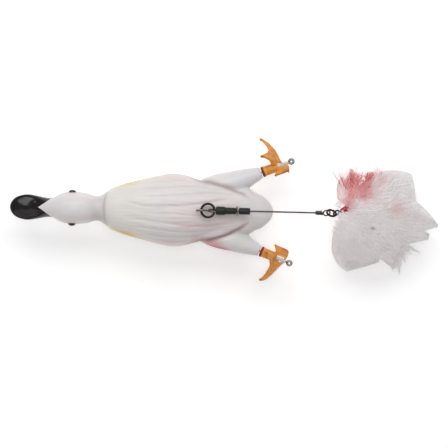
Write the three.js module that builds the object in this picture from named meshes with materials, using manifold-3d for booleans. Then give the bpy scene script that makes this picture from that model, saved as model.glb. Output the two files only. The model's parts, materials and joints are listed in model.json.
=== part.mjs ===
// Duckling surface lure with two spinning webbed feet and a feathered stinger rig.
// Millimetres, +Z up. The bill points along -X and the tail along +X, so the bird's right side is +Y.
// The origin is the middle of the small flat under the belly, which the lure rests on.
// The two body shells meet at the height of the bill tip, the leg axes and the tail tip.
import * as THREE from "three";
import { mergeVertices } from "three/addons/utils/BufferGeometryUtils.js";
import Module from "manifold-3d";

const wasm = await Module();
wasm.setup();

// ---------------------------------------------------------------- driving dimensions
const PARTING_Z = 20.5; // height of the joint between the two shells
const PARTING_GAP = 0.3; // room between the shell edges
const WALL = 1.8; // shell wall

// Body stations: x, half width, height of the widest line, top, bottom.
const STATIONS = [
  [-89.6, 0, 20.5, 20.9, 20.1],
  [-88.4, 3.4, 20.5, 22.0, 18.8],
  [-84.7, 5.8, 20.6, 22.9, 18.3],
  [-80.3, 6.65, 20.7, 23.5, 18.1],
  [-76.8, 6.2, 20.8, 24.3, 17.9],
  [-73.1, 5.5, 21.1, 26.0, 17.5],
  [-69.4, 5.0, 21.8, 28.4, 16.8],
  [-66.8, 5.15, 22.6, 30.2, 16.1],
  [-64.2, 6.6, 23.2, 31.7, 15.4],
  [-60.5, 8.05, 23.7, 33.0, 14.7],
  [-56.4, 8.4, 23.8, 33.6, 14.3],
  [-52.6, 8.3, 23.5, 33.2, 14.1],
  [-48.4, 7.8, 22.8, 31.7, 14.0],
  [-46.3, 6.95, 22.3, 30.6, 13.8],
  [-43.9, 6.35, 21.6, 29.6, 13.2],
  [-42.1, 6.65, 21.2, 29.3, 12.4],
  [-39.5, 8.3, 20.8, 29.8, 11.0],
  [-36.8, 10.0, 20.5, 30.6, 9.2],
  [-34.2, 11.3, 20.3, 31.4, 7.6],
  [-31.6, 12.3, 20.1, 32.0, 6.2],
  [-27.7, 13.8, 19.8, 32.9, 4.4],
  [-21.1, 15.6, 19.4, 34.3, 2.2],
  [-12.5, 17.8, 19.2, 35.5, 0.1],
  [-3.7, 19.2, 19.0, 36.0, -0.7],
  [2.8, 18.4, 19.0, 35.8, -0.7],
  [10.5, 16.0, 19.2, 35.0, 0.3],
  [18.4, 14.2, 19.6, 33.6, 2.5],
  [26.3, 13.1, 20.1, 31.7, 5.8],
  [35.8, 12.1, 20.5, 29.0, 10.6],
  [39.3, 10.0, 20.5, 27.8, 12.7],
  [42.8, 8.6, 20.5, 26.4, 14.8],
  [45.7, 6.1, 20.5, 24.8, 16.8],
  [47.9, 3.4, 20.5, 22.8, 18.8],
  [48.8, 0, 20.5, 20.9, 20.1],
];
const SECTION_POWER = 2.15; // 2 is an ellipse, more is fuller

const LEG_END = { x: 42.0, y: 20.5 }; // centre of the leg's end face
const LEG_SPLAY = (21.5 * Math.PI) / 180;
// Leg radius along its axis, from the end face inwards.
const LEG_PROFILE = [
  [0, 2.95],
  [-3.5, 3.85],
  [-7, 4.85],
  [-15, 6.3],
  [-22, 7.5],
  [-30, 8.0],
  [-37, 5.5],
];

const AXLE_R = 0.5; // 1 mm steel axle wire
const AXLE_LOOP = { u: 17.0, ringR: 1.15 }; // eye bent in the wire's free end
const AXLE_BORE_R = 0.85;
const TUBE_R = 1.0; // clear bearing tube in the foot
const FOOT_BORE_R = 1.3;
const COLLAR_R = 2.95;
const COLLAR = [0.5, 9.5]; // along the axle
// Foot toes: angle round the axle from outwards, tip radius, height along the axle at the root and at the tip.
const TOES = [
  { phi: -218, tip: 5.6, root: 14.0, end: 13.4 },
  { phi: -112, tip: 4.9, root: 14.4, end: 13.9 },
  { phi: 0, tip: 17.0, root: 10.6, end: 5.8, ridge: true },
  { phi: 57, tip: 11.6, root: 7.6, end: 2.8, ridge: true },
];
const PADDLE_PHI = -218;
const PADDLE = [[8.6, 2.2], [7.6, 3.9], [5.9, 5.9], [6.3, 6.5], [8.2, 6.2], [11, 6.3], [13.6, 6.2], [14.5, 5.4], [14.9, 3.4], [14.7, 1.5], [9, 1.5]];
const WEB_VALLEYS = [1.0, 0.92, 0.72]; // web edge between two toes, of the mean tip radius
const WEB_THICK = 1.0;
const FOOT_TURN = { right: -10, left: 35 }; // how far each foot has turned at rest, degrees

const EYE = { x: -56.6, z: 24.6, r: 2.15, back: 7.7, front: 9.55 };

const TRACE_TILT = (7 * Math.PI) / 180;
const TRACE_ORIGIN = { x: 14.6, z: 36.6 }; // centre of the front split ring
const TRACE_R = 0.36;
const FRONT_RING = { major: 3.475, minor: 0.6 };
const BACK_EYE = { x: 11.4, half: 2.5, top: 36.8, r: 0.5, foot: 27.0 };
const KEEPER = { s: 15.3, major: 2.3, minor: 0.35 };
const HOOK_RING = { major: 2.4, minor: 0.48 };
const HOOK_EYE = { x: 81.7, y: 0.1, z: 27.15 };
const HOOK_PITCH = (27 * Math.PI) / 180;
const HOOK_YAW = (9 * Math.PI) / 180;
const SHANK = 29; // eye centre to the bends
const HOOK_GAPE = 10.8; // point to shank axis
const PRONG_ANGLES = [20, 140, 260];

const BALLAST = [
  { name: "ballast_front", x: -12, length: 16, r: 4.2, z: 8.9 },
  { name: "ballast_rear", x: 11, length: 13, r: 4.2, z: 9.0 },
];

// ---------------------------------------------------------------- materials
const mat = (color, roughness, metalness, extra = {}) =>
  new THREE.MeshStandardMaterial({ color, roughness, metalness, ...extra });
const WHITE = mat(0xe9e6e5, 0.3, 0);
const BLACK_GLOSS = mat(0x0c0a0a, 0.08, 0);
const ORANGE = mat(0xdf8f34, 0.45, 0);
const STEEL = mat(0xb9b6b0, 0.25, 1);
const BLACK_NICKEL = mat(0x2a2624, 0.25, 1);
const RUBBER = mat(0x121214, 0.7, 0);
const CLEAR = mat(0xe8e6e2, 0.15, 0, { transparent: true, opacity: 0.4 });
const LEAD = mat(0x6f7276, 0.6, 0.8);
const FEATHER = mat(0xe4e0e0, 0.9, 0);
const PINK_FEATHER = mat(0xe9c4c6, 0.9, 0);
const RED_FLUFF = mat(0xdb5a64, 0.9, 0);
const RED_THREAD = mat(0xb3121f, 0.3, 0);

// ---------------------------------------------------------------- geometry helpers
const V = (x, y, z) => new THREE.Vector3(x, y, z);

function closed(geometry) {
  const g = geometry.index ? geometry.clone() : geometry;
  g.deleteAttribute("normal");
  g.deleteAttribute("uv");
  const merged = mergeVertices(g, 1e-4);
  const p = merged.attributes.position.array;
  const old = merged.index.array;
  const index = [];
  for (let i = 0; i < old.length; i += 3) {
    const [a, b, c] = [old[i], old[i + 1], old[i + 2]];
    if (a !== b && b !== c && a !== c) index.push(a, b, c);
  }
  let volume = 0;
  for (let i = 0; i < index.length; i += 3) {
    const [a, b, c] = [index[i] * 3, index[i + 1] * 3, index[i + 2] * 3];
    volume +=
      p[a] * (p[b + 1] * p[c + 2] - p[b + 2] * p[c + 1]) +
      p[a + 1] * (p[b + 2] * p[c] - p[b] * p[c + 2]) +
      p[a + 2] * (p[b] * p[c + 1] - p[b + 1] * p[c]);
  }
  if (volume < 0)
    for (let i = 0; i < index.length; i += 3)
      [index[i + 1], index[i + 2]] = [index[i + 2], index[i + 1]];
  merged.setIndex(index);
  return merged;
}

function solid(geometry) {
  const g = closed(geometry);
  return new wasm.Manifold(
    new wasm.Mesh({
      numProp: 3,
      vertProperties: new Float32Array(g.attributes.position.array),
      triVerts: new Uint32Array(g.index.array),
    }),
  );
}

function geometryOf(manifold) {
  const m = manifold.getMesh();
  const n = m.numProp;
  const p = new Float32Array(m.numVert * 3);
  for (let i = 0; i < m.numVert; i++)
    p.set(m.vertProperties.subarray(i * n, i * n + 3), i * 3);
  const g = new THREE.BufferGeometry();
  g.setAttribute("position", new THREE.BufferAttribute(p, 3));
  g.setIndex(new THREE.BufferAttribute(new Uint32Array(m.triVerts), 1));
  g.computeVertexNormals();
  return g;
}

const join = (...geometries) =>
  geometries.map(solid).reduce((a, b) => a.add(b));

// A closed surface through rings of points, with a middle point closing each end.
function loftGeometry(rings) {
  const n = rings[0].length;
  const p = [];
  const index = [];
  for (const ring of rings) for (const v of ring) p.push(v.x, v.y, v.z);
  for (let i = 0; i + 1 < rings.length; i++)
    for (let j = 0; j < n; j++) {
      const a = i * n + j;
      const b = i * n + ((j + 1) % n);
      index.push(a, b, b + n, a, b + n, a + n);
    }
  for (const end of [0, rings.length - 1]) {
    const c = rings[end].reduce((s, v) => s.add(v), V(0, 0, 0)).divideScalar(n);
    const k = p.length / 3;
    p.push(c.x, c.y, c.z);
    for (let j = 0; j < n; j++) {
      const a = end * n + j;
      const b = end * n + ((j + 1) % n);
      if (end === 0) index.push(k, b, a);
      else index.push(k, a, b);
    }
  }
  const g = new THREE.BufferGeometry();
  g.setAttribute("position", new THREE.Float32BufferAttribute(p, 3));
  g.setIndex(index);
  return g;
}

// A round bar along points, whose radius may change from point to point.
function bar(points, radii, sides = 8) {
  const radius = (i) => (Array.isArray(radii) ? radii[i] : radii);
  const tangents = points.map((_, i) =>
    points[Math.min(i + 1, points.length - 1)]
      .clone()
      .sub(points[Math.max(i - 1, 0)])
      .normalize(),
  );
  let normal = Math.abs(tangents[0].z) < 0.9 ? V(0, 0, 1) : V(1, 0, 0);
  const rings = points.map((c, i) => {
    const t = tangents[i];
    normal = normal.clone().addScaledVector(t, -normal.dot(t)).normalize();
    const side = t.clone().cross(normal);
    return Array.from({ length: sides }, (_, k) => {
      const a = (2 * Math.PI * k) / sides;
      return c
        .clone()
        .addScaledVector(normal, radius(i) * Math.cos(a))
        .addScaledVector(side, radius(i) * Math.sin(a));
    });
  });
  return loftGeometry(rings);
}

const smooth = (points, count) =>
  new THREE.CatmullRomCurve3(points, false, "centripetal").getPoints(count);

// A turned piece about the local X axis: profile of [along, radius].
function turned(profile, sides = 20) {
  const g = new THREE.LatheGeometry(
    profile.map(([along, r]) => new THREE.Vector2(r, along)),
    sides,
  );
  return g.rotateZ(-Math.PI / 2);
}
const turnedSolidProfile = (profile) => [
  [profile[0][0], 0],
  ...profile,
  [profile[profile.length - 1][0], 0],
];
const pipe = (from, to, inner, outer, sides = 16) =>
  turned(
    [
      [from, inner],
      [from, outer],
      [to, outer],
      [to, inner],
      [from, inner],
    ],
    sides,
  );
const rod = (from, to, r, sides = 12) =>
  turned(
    [
      [from, 0],
      [from, r],
      [to, r],
      [to, 0],
    ],
    sides,
  );

// A ring in the local XY plane.
const ring = (major, minor, around = 18, section = 6) =>
  new THREE.TorusGeometry(major, minor, section, around);

function box(x0, y0, z0, x1, y1, z1) {
  return new THREE.BoxGeometry(x1 - x0, y1 - y0, z1 - z0).translate(
    (x0 + x1) / 2,
    (y0 + y1) / 2,
    (z0 + z1) / 2,
  );
}

function mesh(name, geometry, material) {
  const m = new THREE.Mesh(
    geometry.isBufferGeometry ? geometryOf(solid(geometry)) : geometryOf(geometry),
    material.clone(),
  );
  m.name = name;
  return m;
}

const lerp = (a, b, t) => a + (b - a) * t;

// ---------------------------------------------------------------- body shells
function station(x) {
  let i = 0;
  while (i < STATIONS.length - 2 && STATIONS[i + 1][0] < x) i++;
  const [a, b] = [STATIONS[i], STATIONS[i + 1]];
  const t = (x - a[0]) / (b[0] - a[0]);
  return a.map((v, k) => lerp(v, b[k], t));
}

function sectionRing([x, w, zm, zt, zb], count, inset = 0) {
  const p = 2 / SECTION_POWER;
  return Array.from({ length: count }, (_, k) => {
    const a = (2 * Math.PI * k) / count;
    const c = Math.cos(a);
    const s = Math.sin(a);
    const h = s >= 0 ? zt - inset - zm : zm - zb - inset;
    return V(
      x,
      Math.max(w - inset, 0.02) * Math.sign(c) * Math.abs(c) ** p,
      zm + h * Math.sign(s) * Math.abs(s) ** p,
    );
  });
}

const legPlace = (side) =>
  new THREE.Matrix4()
    .makeTranslation(LEG_END.x, side * LEG_END.y, PARTING_Z)
    .multiply(new THREE.Matrix4().makeRotationZ(side * LEG_SPLAY));

function bodyShells() {
  let skin = solid(loftGeometry(STATIONS.map((s) => sectionRing(s, 24))));
  const hollowX = [-67.5, -62, -56, -50, -44, -40.5, -36, -28, -18, -4, 8, 20, 35, 44];
  let hollow = solid(
    loftGeometry(hollowX.map((x) => sectionRing(station(x), 14, WALL))),
  );
  for (const side of [1, -1]) {
    const at = legPlace(side);
    skin = skin.add(
      solid(turned(turnedSolidProfile(LEG_PROFILE), 16).applyMatrix4(at)),
    );
    const inner = LEG_PROFILE.filter(([u]) => u <= -7).map(([u, r]) => [
      u === -7 ? -9 : u,
      r - WALL,
    ]);
    hollow = hollow.add(
      solid(turned(turnedSolidProfile(inner), 10).applyMatrix4(at)),
    );
  }
  // The hollow reaches no lower than a wall above the belly flat.
  hollow = hollow.subtract(solid(box(-100, -40, -10, 100, 40, WALL + 0.4)));
  let shell = skin.subtract(hollow);
  // Boss for the line eye's screw, bosses for the two back eyes, and the locating posts.
  const inside = (g) => solid(g).intersect(skin);
  const chest = lineEyePlace();
  shell = shell.add(inside(rod(-11, 1.5, 3.0, 10).applyMatrix4(chest)));
  for (const x of [BACK_EYE.x - BACK_EYE.half, BACK_EYE.x + BACK_EYE.half, keeperX()])
    shell = shell.add(
      inside(
        rod(0, 10, 2.0, 8)
          .rotateY(-Math.PI / 2)
          .translate(x, 0, 26.5),
      ),
    );
  for (const [x, y] of POSTS) {
    shell = shell.add(
      inside(rod(0, 40, 2.3, 8).rotateY(-Math.PI / 2).translate(x, y, 0.5)),
    );
  }
  // Belly flat.
  shell = shell.subtract(solid(box(-100, -60, -20, 100, 60, 0)));
  // Holes for the axle wires, the eyes' seats and the back eyes' legs.
  for (const side of [1, -1]) {
    shell = shell.subtract(
      solid(rod(-14, 3, AXLE_BORE_R, 10).applyMatrix4(legPlace(side))),
    );
    shell = shell.subtract(
      solid(
        rod(0, 6, EYE.r + 0.3, 14)
          .rotateZ((side * Math.PI) / 2)
          .translate(EYE.x, side * (EYE.back - 0.3), EYE.z),
      ),
    );
  }
  shell = shell.subtract(solid(rod(-9.5, 4, 0.95, 10).applyMatrix4(chest)));
  for (const x of [BACK_EYE.x - BACK_EYE.half, BACK_EYE.x + BACK_EYE.half])
    shell = shell.subtract(
      solid(rod(0, 20, 0.85, 8).rotateY(-Math.PI / 2).translate(x, 0, BACK_EYE.foot - 0.4)),
    );
  shell = shell.subtract(
    solid(rod(0, 20, 0.75, 8).rotateY(-Math.PI / 2).translate(keeperX(), 0, 26.6)),
  );
  const half = PARTING_GAP / 2;
  let upper = shell.subtract(solid(box(-120, -60, -30, 120, 60, PARTING_Z + half)));
  let lower = shell.subtract(solid(box(-120, -60, PARTING_Z - half, 120, 60, 80)));
  // Locating pins on the lower posts, and their sockets in the upper ones.
  for (const [x, y] of POSTS) {
    lower = lower.add(
      solid(rod(0, 5, 1.0, 8).rotateY(-Math.PI / 2).translate(x, y, PARTING_Z - 2)),
    );
    upper = upper.subtract(
      solid(rod(0, 5, 1.35, 8).rotateY(-Math.PI / 2).translate(x, y, PARTING_Z - 1)),
    );
  }
  return { upper, lower };
}

const POSTS = [
  [-28, 0],
  [-1, 0],
  [24, 0],
];

const traceZ = (x) => TRACE_ORIGIN.z - Math.tan(TRACE_TILT) * (x - TRACE_ORIGIN.x);
function keeperX() {
  return TRACE_ORIGIN.x + KEEPER.s * Math.cos(TRACE_TILT);
}

// The line eye screws into the chest under the neck: local X points out of the chest.
function lineEyePlace() {
  const out = V(-0.64, 0, -0.77).normalize();
  const up = V(0, 1, 0);
  const m = new THREE.Matrix4().makeBasis(out, up, out.clone().cross(up));
  return m.setPosition(-37.6, 0, 10.2);
}

// ---------------------------------------------------------------- feet
function footGeometry(side) {
  const deg = Math.PI / 180;
  const at = (phi, r, u) =>
    V(u, side * r * Math.cos(phi * deg), r * Math.sin(phi * deg));
  const curl = (toe, r) => {
    const t = Math.max(0, (r - COLLAR_R) / (toe.tip - COLLAR_R));
    return lerp(toe.root, toe.end, t ** 2.6);
  };
  // Web: a ramp round the axle, thick along it.
  const columns = [];
  for (let i = 0; i + 1 < TOES.length; i++) {
    const [a, b] = [TOES[i], TOES[i + 1]];
    const steps = [8, 8, 5][i];
    for (let k = i === 0 ? 0 : 1; k <= steps; k++) {
      const t = k / steps;
      const dip = 1 - (1 - WEB_VALLEYS[i]) * Math.sin(Math.PI * t) ** 1.2;
      columns.push({
        phi: lerp(a.phi, b.phi, t),
        tip: lerp(a.tip, b.tip, t) * dip * 0.97,
        full: { tip: lerp(a.tip, b.tip, t), root: lerp(a.root, b.root, t), end: lerp(a.end, b.end, t) },
      });
    }
  }
  const rows = 4;
  const p = [];
  const index = [];
  const id = (c, r, face) => (c * (rows + 1) + r) * 2 + face;
  columns.forEach((c) => {
    for (let r = 0; r <= rows; r++) {
      const radius = lerp(1.4, c.tip, r / rows);
      const u = curl(c.full, radius);
      const thin = lerp(1, 0.6, r / rows) * WEB_THICK * 0.5;
      for (const face of [-1, 1]) {
        const v = at(c.phi, radius, u + face * thin);
        p.push(v.x, v.y, v.z);
      }
    }
  });
  const quad = (a, b, c, d) => index.push(a, b, c, a, c, d);
  const last = columns.length - 1;
  for (let c = 0; c < last; c++) {
    for (let r = 0; r < rows; r++) {
      quad(id(c, r, 0), id(c, r + 1, 0), id(c + 1, r + 1, 0), id(c + 1, r, 0));
      quad(id(c, r, 1), id(c + 1, r, 1), id(c + 1, r + 1, 1), id(c, r + 1, 1));
    }
    quad(id(c, 0, 0), id(c + 1, 0, 0), id(c + 1, 0, 1), id(c, 0, 1));
    quad(id(c, rows, 0), id(c, rows, 1), id(c + 1, rows, 1), id(c + 1, rows, 0));
  }
  for (let r = 0; r < rows; r++) {
    quad(id(0, r, 0), id(0, r, 1), id(0, r + 1, 1), id(0, r + 1, 0));
    quad(id(last, r, 0), id(last, r + 1, 0), id(last, r + 1, 1), id(last, r, 1));
  }
  const web = new THREE.BufferGeometry();
  web.setAttribute("position", new THREE.Float32BufferAttribute(p, 3));
  web.setIndex(index);
  let foot = solid(web);
  for (const toe of TOES.filter((t) => t.ridge)) {
    const count = 5;
    const points = [];
    const radii = [];
    for (let i = 0; i <= count; i++) {
      const r = lerp(2.3, toe.tip, i / count);
      points.push(at(toe.phi, r, curl(toe, r)));
      radii.push(lerp(1.25, 0.55, i / count));
    }
    foot = foot.add(solid(bar(points, radii, 6)));
  }
  // The small paddle opposite the web: a plate that holds the axle's direction.
  const outline = new THREE.Shape(PADDLE.map(([u, r]) => new THREE.Vector2(u, r)));
  const radial = at(PADDLE_PHI, 1, 0);
  const along = V(1, 0, 0);
  foot = foot.add(
    solid(
      new THREE.ExtrudeGeometry(outline, { depth: 1, bevelEnabled: false })
        .translate(0, 0, -0.5)
        .applyMatrix4(new THREE.Matrix4().makeBasis(along, radial, along.clone().cross(radial))),
    ),
  );
  foot = foot.add(solid(rod(COLLAR[0], COLLAR[1], COLLAR_R, 14)));
  return foot.subtract(solid(rod(-2, 30, FOOT_BORE_R, 10)));
}

// ---------------------------------------------------------------- feathers
// Height of the canopy that the feathers lie in, over the hook.
const canopy = (x, y) =>
  Math.max(3.5, 28.2 - 0.0125 * (x - 97) ** 2 - 0.024 * (y + 2) ** 2);
const underside = (x, y) =>
  Math.max(1.0, 11 - 0.02 * (x - 92) ** 2 - 0.028 * y ** 2);

// A thin leaf along a line in plan, lying in a canopy at its layer.
function leaf(plan, widths, layer, surface = canopy, thick = 0.7) {
  const curve = new THREE.CatmullRomCurve3(
    plan.map(([x, y]) => V(x, y, 0)),
    false,
    "centripetal",
  );
  const rows = 8;
  const cols = 3;
  const p = [];
  const index = [];
  for (let i = 0; i <= rows; i++) {
    const t = i / rows;
    const c = curve.getPoint(t);
    const d = curve.getTangent(t);
    const k = t * (widths.length - 1);
    const j = Math.min(Math.floor(k), widths.length - 2);
    const half = lerp(widths[j], widths[j + 1], k - j);
    for (let q = 0; q <= cols; q++) {
      const v = (q / cols) * 2 - 1;
      const x = c.x - d.y * v * half;
      const y = c.y + d.x * v * half;
      const z = surface(x, y) + layer * 1.35;
      const h = 0.5 * thick * (1 - 0.5 * v * v);
      p.push(x, y, z - h, x, y, z + h);
    }
  }
  const id = (i, q, f) => (i * (cols + 1) + q) * 2 + f;
  const quad = (a, b, c, d) => index.push(a, b, c, a, c, d);
  for (let i = 0; i < rows; i++) {
    for (let q = 0; q < cols; q++) {
      quad(id(i, q, 0), id(i, q + 1, 0), id(i + 1, q + 1, 0), id(i + 1, q, 0));
      quad(id(i, q, 1), id(i + 1, q, 1), id(i + 1, q + 1, 1), id(i, q + 1, 1));
    }
    quad(id(i, 0, 0), id(i + 1, 0, 0), id(i + 1, 0, 1), id(i, 0, 1));
    quad(id(i, cols, 0), id(i, cols, 1), id(i + 1, cols, 1), id(i + 1, cols, 0));
  }
  for (let q = 0; q < cols; q++) {
    quad(id(0, q, 0), id(0, q, 1), id(0, q + 1, 1), id(0, q + 1, 0));
    quad(id(rows, q, 0), id(rows, q + 1, 0), id(rows, q + 1, 1), id(rows, q, 1));
  }
  const g = new THREE.BufferGeometry();
  g.setAttribute("position", new THREE.Float32BufferAttribute(p, 3));
  g.setIndex(index);
  return g;
}

const FEATHERS = [
  { name: "feather_tail", plan: [[92, 0.5], [108, -0.5], [122, -2.5], [135.5, -5.5]], widths: [2, 7, 9.5, 8.5, 1], layer: 3 },
  { name: "feather_upper", plan: [[93, 5], [104, 10.5], [113, 12.8], [122.5, 13.6]], widths: [2, 6.5, 9, 9.2, 8], layer: 1 },
  { name: "feather_lower_tail", plan: [[93, -2.5], [106, -6], [118, -11], [130, -13.5]], widths: [2, 7, 9, 7, 1.5], layer: 2 },
  { name: "feather_wispy", plan: [[96, -7], [104, -15], [111, -23], [117, -31]], widths: [2, 6, 6.5, 5, 1], layer: 0 },
  { name: "feather_round", plan: [[92, -6], [92.5, -12], [93.5, -19], [95, -27]], widths: [2, 8.5, 11, 10.5, 6], layer: 1 },
  { name: "feather_side", plan: [[88.5, -6.5], [86, -11], [84.5, -16], [84, -20]], widths: [1.5, 3.5, 3.6, 2.5], layer: 0 },
  { name: "feather_point_front", plan: [[87, 6], [85.2, 10], [84.6, 14.5], [84.7, 19]], widths: [1.6, 3.2, 2.4, 0.5], layer: 1, material: "pink" },
  { name: "feather_point_back", plan: [[90, 8.5], [90, 14], [90, 18.5], [90, 23.2]], widths: [1.6, 3.6, 2.6, 0.5], layer: 0, material: "pink" },
  { name: "red_tuft", plan: [[91.5, 7], [93.5, 12], [95, 17], [97, 21.5]], widths: [2, 5, 5, 3.2], layer: 2.2, material: "red" },
  { name: "feather_cover", plan: [[93, -4.5], [101, -7], [109, -9], [117, -10]], widths: [2, 5.5, 6, 2], layer: 4 },
  { name: "under_feather_right", plan: [[92, 7], [100, 10], [110, 12], [121, 13]], widths: [1.5, 4.5, 5, 2], layer: 0, surface: underside },
  { name: "under_feather_left", plan: [[92, -8], [100, -12], [109, -16], [119, -18]], widths: [1.5, 4.5, 5, 2], layer: 0, surface: underside },
];
const FEATHER_MATERIAL = { white: FEATHER, pink: PINK_FEATHER, red: RED_FLUFF };

// ---------------------------------------------------------------- the lure
const lure = new THREE.Group();

const shells = bodyShells();
lure.add(mesh("upper_shell", shells.upper, WHITE));
lure.add(mesh("lower_shell", shells.lower, WHITE));

for (const [name, side] of [
  ["right_eye", 1],
  ["left_eye", -1],
]) {
  const h = EYE.front - EYE.back;
  const dome = mesh(
    name,
    turned(
      [
        [0, 0],
        [0, EYE.r],
        [0.45, EYE.r],
        [0.45 + (h - 0.45) * 0.5, EYE.r * 0.84],
        [0.45 + (h - 0.45) * 0.86, EYE.r * 0.5],
        [h, 0],
      ],
      18,
    ),
    BLACK_GLOSS,
  );
  dome.position.set(EYE.x, side * EYE.back, EYE.z);
  dome.rotation.z = (side * Math.PI) / 2;
  lure.add(dome);
}

// Screw eye under the neck, which the line is tied to.
const lineEye = new THREE.Group();
lineEye.applyMatrix4(lineEyePlace());
lineEye.add(
  mesh(
    "line_tie_eye",
    join(
      rod(-9, 2.6, 0.65, 10),
      ring(2.3, 0.65, 16, 6)
        .rotateX(Math.PI / 2)
        .translate(4.6, 0, 0),
    ),
    STEEL,
  ),
);
lure.add(lineEye);

for (const b of BALLAST) {
  const m = mesh(
    b.name,
    turned(
      [
        [-b.length / 2, 0],
        [-b.length / 2, b.r - 1],
        [-b.length / 2 + 1, b.r],
        [b.length / 2 - 1, b.r],
        [b.length / 2, b.r - 1],
        [b.length / 2, 0],
      ],
      16,
    ),
    LEAD,
  );
  m.position.set(b.x, 0, b.z);
  lure.add(m);
}

// Wire staple over the front split ring, and the keeper ring round the trace.
{
  const { x, half, top, r, foot } = BACK_EYE;
  const arch = [V(x - half, 0, foot)];
  for (let i = 0; i <= 8; i++) {
    const a = Math.PI * (1 - i / 8);
    arch.push(V(x + half * Math.cos(a), 0, top + half * 0.95 * Math.sin(a)));
  }
  arch.push(V(x + half, 0, foot));
  lure.add(mesh("back_eye", bar(arch, r, 8), STEEL));

  const z = traceZ(keeperX());
  lure.add(
    mesh(
      "keeper_eye",
      join(
        ring(KEEPER.major, KEEPER.minor, 20, 6)
          .rotateY(Math.PI / 2 + TRACE_TILT)
          .translate(keeperX(), 0, z),
        bar([V(keeperX(), 0, 27.2), V(keeperX(), 0, z - KEEPER.major)], 0.4, 8),
      ),
      STEEL,
    ),
  );
}

// Axle wires, feet and their bearing tubes.
for (const [name, side] of [
  ["right", 1],
  ["left", -1],
]) {
  const leg = new THREE.Group();
  leg.applyMatrix4(legPlace(side));
  const wireEnd = AXLE_LOOP.u - AXLE_LOOP.ringR;
  leg.add(
    mesh(
      name + "_axle_wire",
      join(
        bar(
          [V(-17.5, side * 3.4, 0), V(-17.5, side * 1.2, 0), V(-16.9, side * 0.3, 0), V(-16, 0, 0), V(-6, 0, 0), V(4, 0, 0), V(wireEnd, 0, 0)],
          AXLE_R,
          8,
        ),
        ring(AXLE_LOOP.ringR, AXLE_R, 14, 6).translate(AXLE_LOOP.u, 0, 0),
      ),
      STEEL,
    ),
  );
  const turn = new THREE.Group();
  turn.rotation.x = (side * FOOT_TURN[name] * Math.PI) / 180;
  turn.add(mesh(name + "_foot", footGeometry(side), ORANGE));
  turn.add(
    mesh(
      name + "_foot_tube",
      pipe(0.5, wireEnd - AXLE_R - 0.45, AXLE_R + 0.2, TUBE_R, 16),
      CLEAR,
    ),
  );
  leg.add(turn);
  lure.add(leg);
}

// Stinger trace. Local X runs along it from the front ring's centre.
const trace = new THREE.Group();
trace.position.set(TRACE_ORIGIN.x, 0, TRACE_ORIGIN.z);
trace.rotation.y = TRACE_TILT;
trace.add(mesh("front_split_ring", ring(FRONT_RING.major, FRONT_RING.minor, 24, 6), BLACK_NICKEL));
const REAR_LOOP = { s: 62.4, major: 1.75 };
{
  const lean = (25 * Math.PI) / 180;
  const wire = [];
  // The tag end starts in the crimp and runs forward under the ring, round, and back over it.
  const loop = [
    [8.4, -0.42], [6.0, -0.42], [5.2, -0.7], [4.4, -1.2], [3.2, -1.38], [1.9, -1.3], [0.75, -0.85], [0.3, 0],
    [0.75, 0.85], [1.9, 1.3], [3.2, 1.38], [4.4, 1.2], [5.2, 0.7], [6.0, 0.42], [8.4, 0.42], [10.2, 0.1], [11.5, 0],
  ];
  for (const [x, h] of loop)
    wire.push(V(x, -h * Math.sin(lean), h * Math.cos(lean)));
  wire.push(V(30, 0, 0), V(REAR_LOOP.s - REAR_LOOP.major, 0, 0));
  const wraps = [[56.4, 0]];
  for (let i = 0; i < 3; i++) {
    const a = 56.4 + i * 1.2;
    wraps.push([a, 0.75], [a + 0.25, 1.1], [a + 0.6, 1.2], [a + 0.95, 1.1]);
  }
  wraps.push([60.0, 0.75], [60.0, 0]);
  trace.add(
    mesh(
      "trace_wire",
      join(
        bar(wire, TRACE_R, 6),
        turned(wraps, 12),
        ring(REAR_LOOP.major, 0.375, 16, 6)
          .rotateX((40 * Math.PI) / 180)
          .translate(REAR_LOOP.s, 0, 0),
      ),
      STEEL,
    ),
  );
  trace.add(mesh("crimp_sleeve", pipe(5.7, 8.7, 1.12, 1.5, 12), BLACK_NICKEL));
  trace.add(
    mesh(
      "front_tube",
      turned(
        [
          [4.4, 1.82], [4.4, 2.1], [4.7, 2.2], [8.6, 2.2], [9.2, 1.72], [14.6, 1.68], [14.6, 0.68],
          [9.6, 0.72], [9.1, 1.3], [9.0, 1.82], [4.4, 1.82],
        ],
        14,
      ),
      RUBBER,
    ),
  );
  trace.add(
    mesh(
      "rear_tube",
      turned(
        [
          [16.3, 0.68], [16.3, 1.55], [16.6, 1.75], [21.7, 1.75], [22.0, 1.6], [22.0, 0.68], [16.3, 0.68],
        ],
        14,
      ),
      RUBBER,
    ),
  );
}
lure.add(trace);

// Rear split ring: it runs through the trace's rear loop and the hook's eye.
{
  const q = V(0.94, 0, -0.342);
  const linkX = TRACE_ORIGIN.x + (REAR_LOOP.s + 0.3) * Math.cos(TRACE_TILT);
  const linkZ = TRACE_ORIGIN.z - (REAR_LOOP.s + 0.3) * Math.sin(TRACE_TILT);
  const g = ring(HOOK_RING.major, HOOK_RING.minor, 20, 6);
  const r = mesh("hook_split_ring", g, BLACK_NICKEL);
  const c = V(linkX, 0, linkZ).addScaledVector(q, HOOK_RING.major);
  r.position.copy(c);
  // Its plane holds the droop direction and leans to one side.
  const lean = (-48 * Math.PI) / 180;
  const yAxis = V(0, 1, 0);
  const zAxis = q.clone().cross(yAxis);
  const m = new THREE.Matrix4().makeBasis(q, yAxis, zAxis);
  m.multiply(new THREE.Matrix4().makeRotationX(lean));
  r.quaternion.setFromRotationMatrix(m);
  lure.add(r);
}

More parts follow.
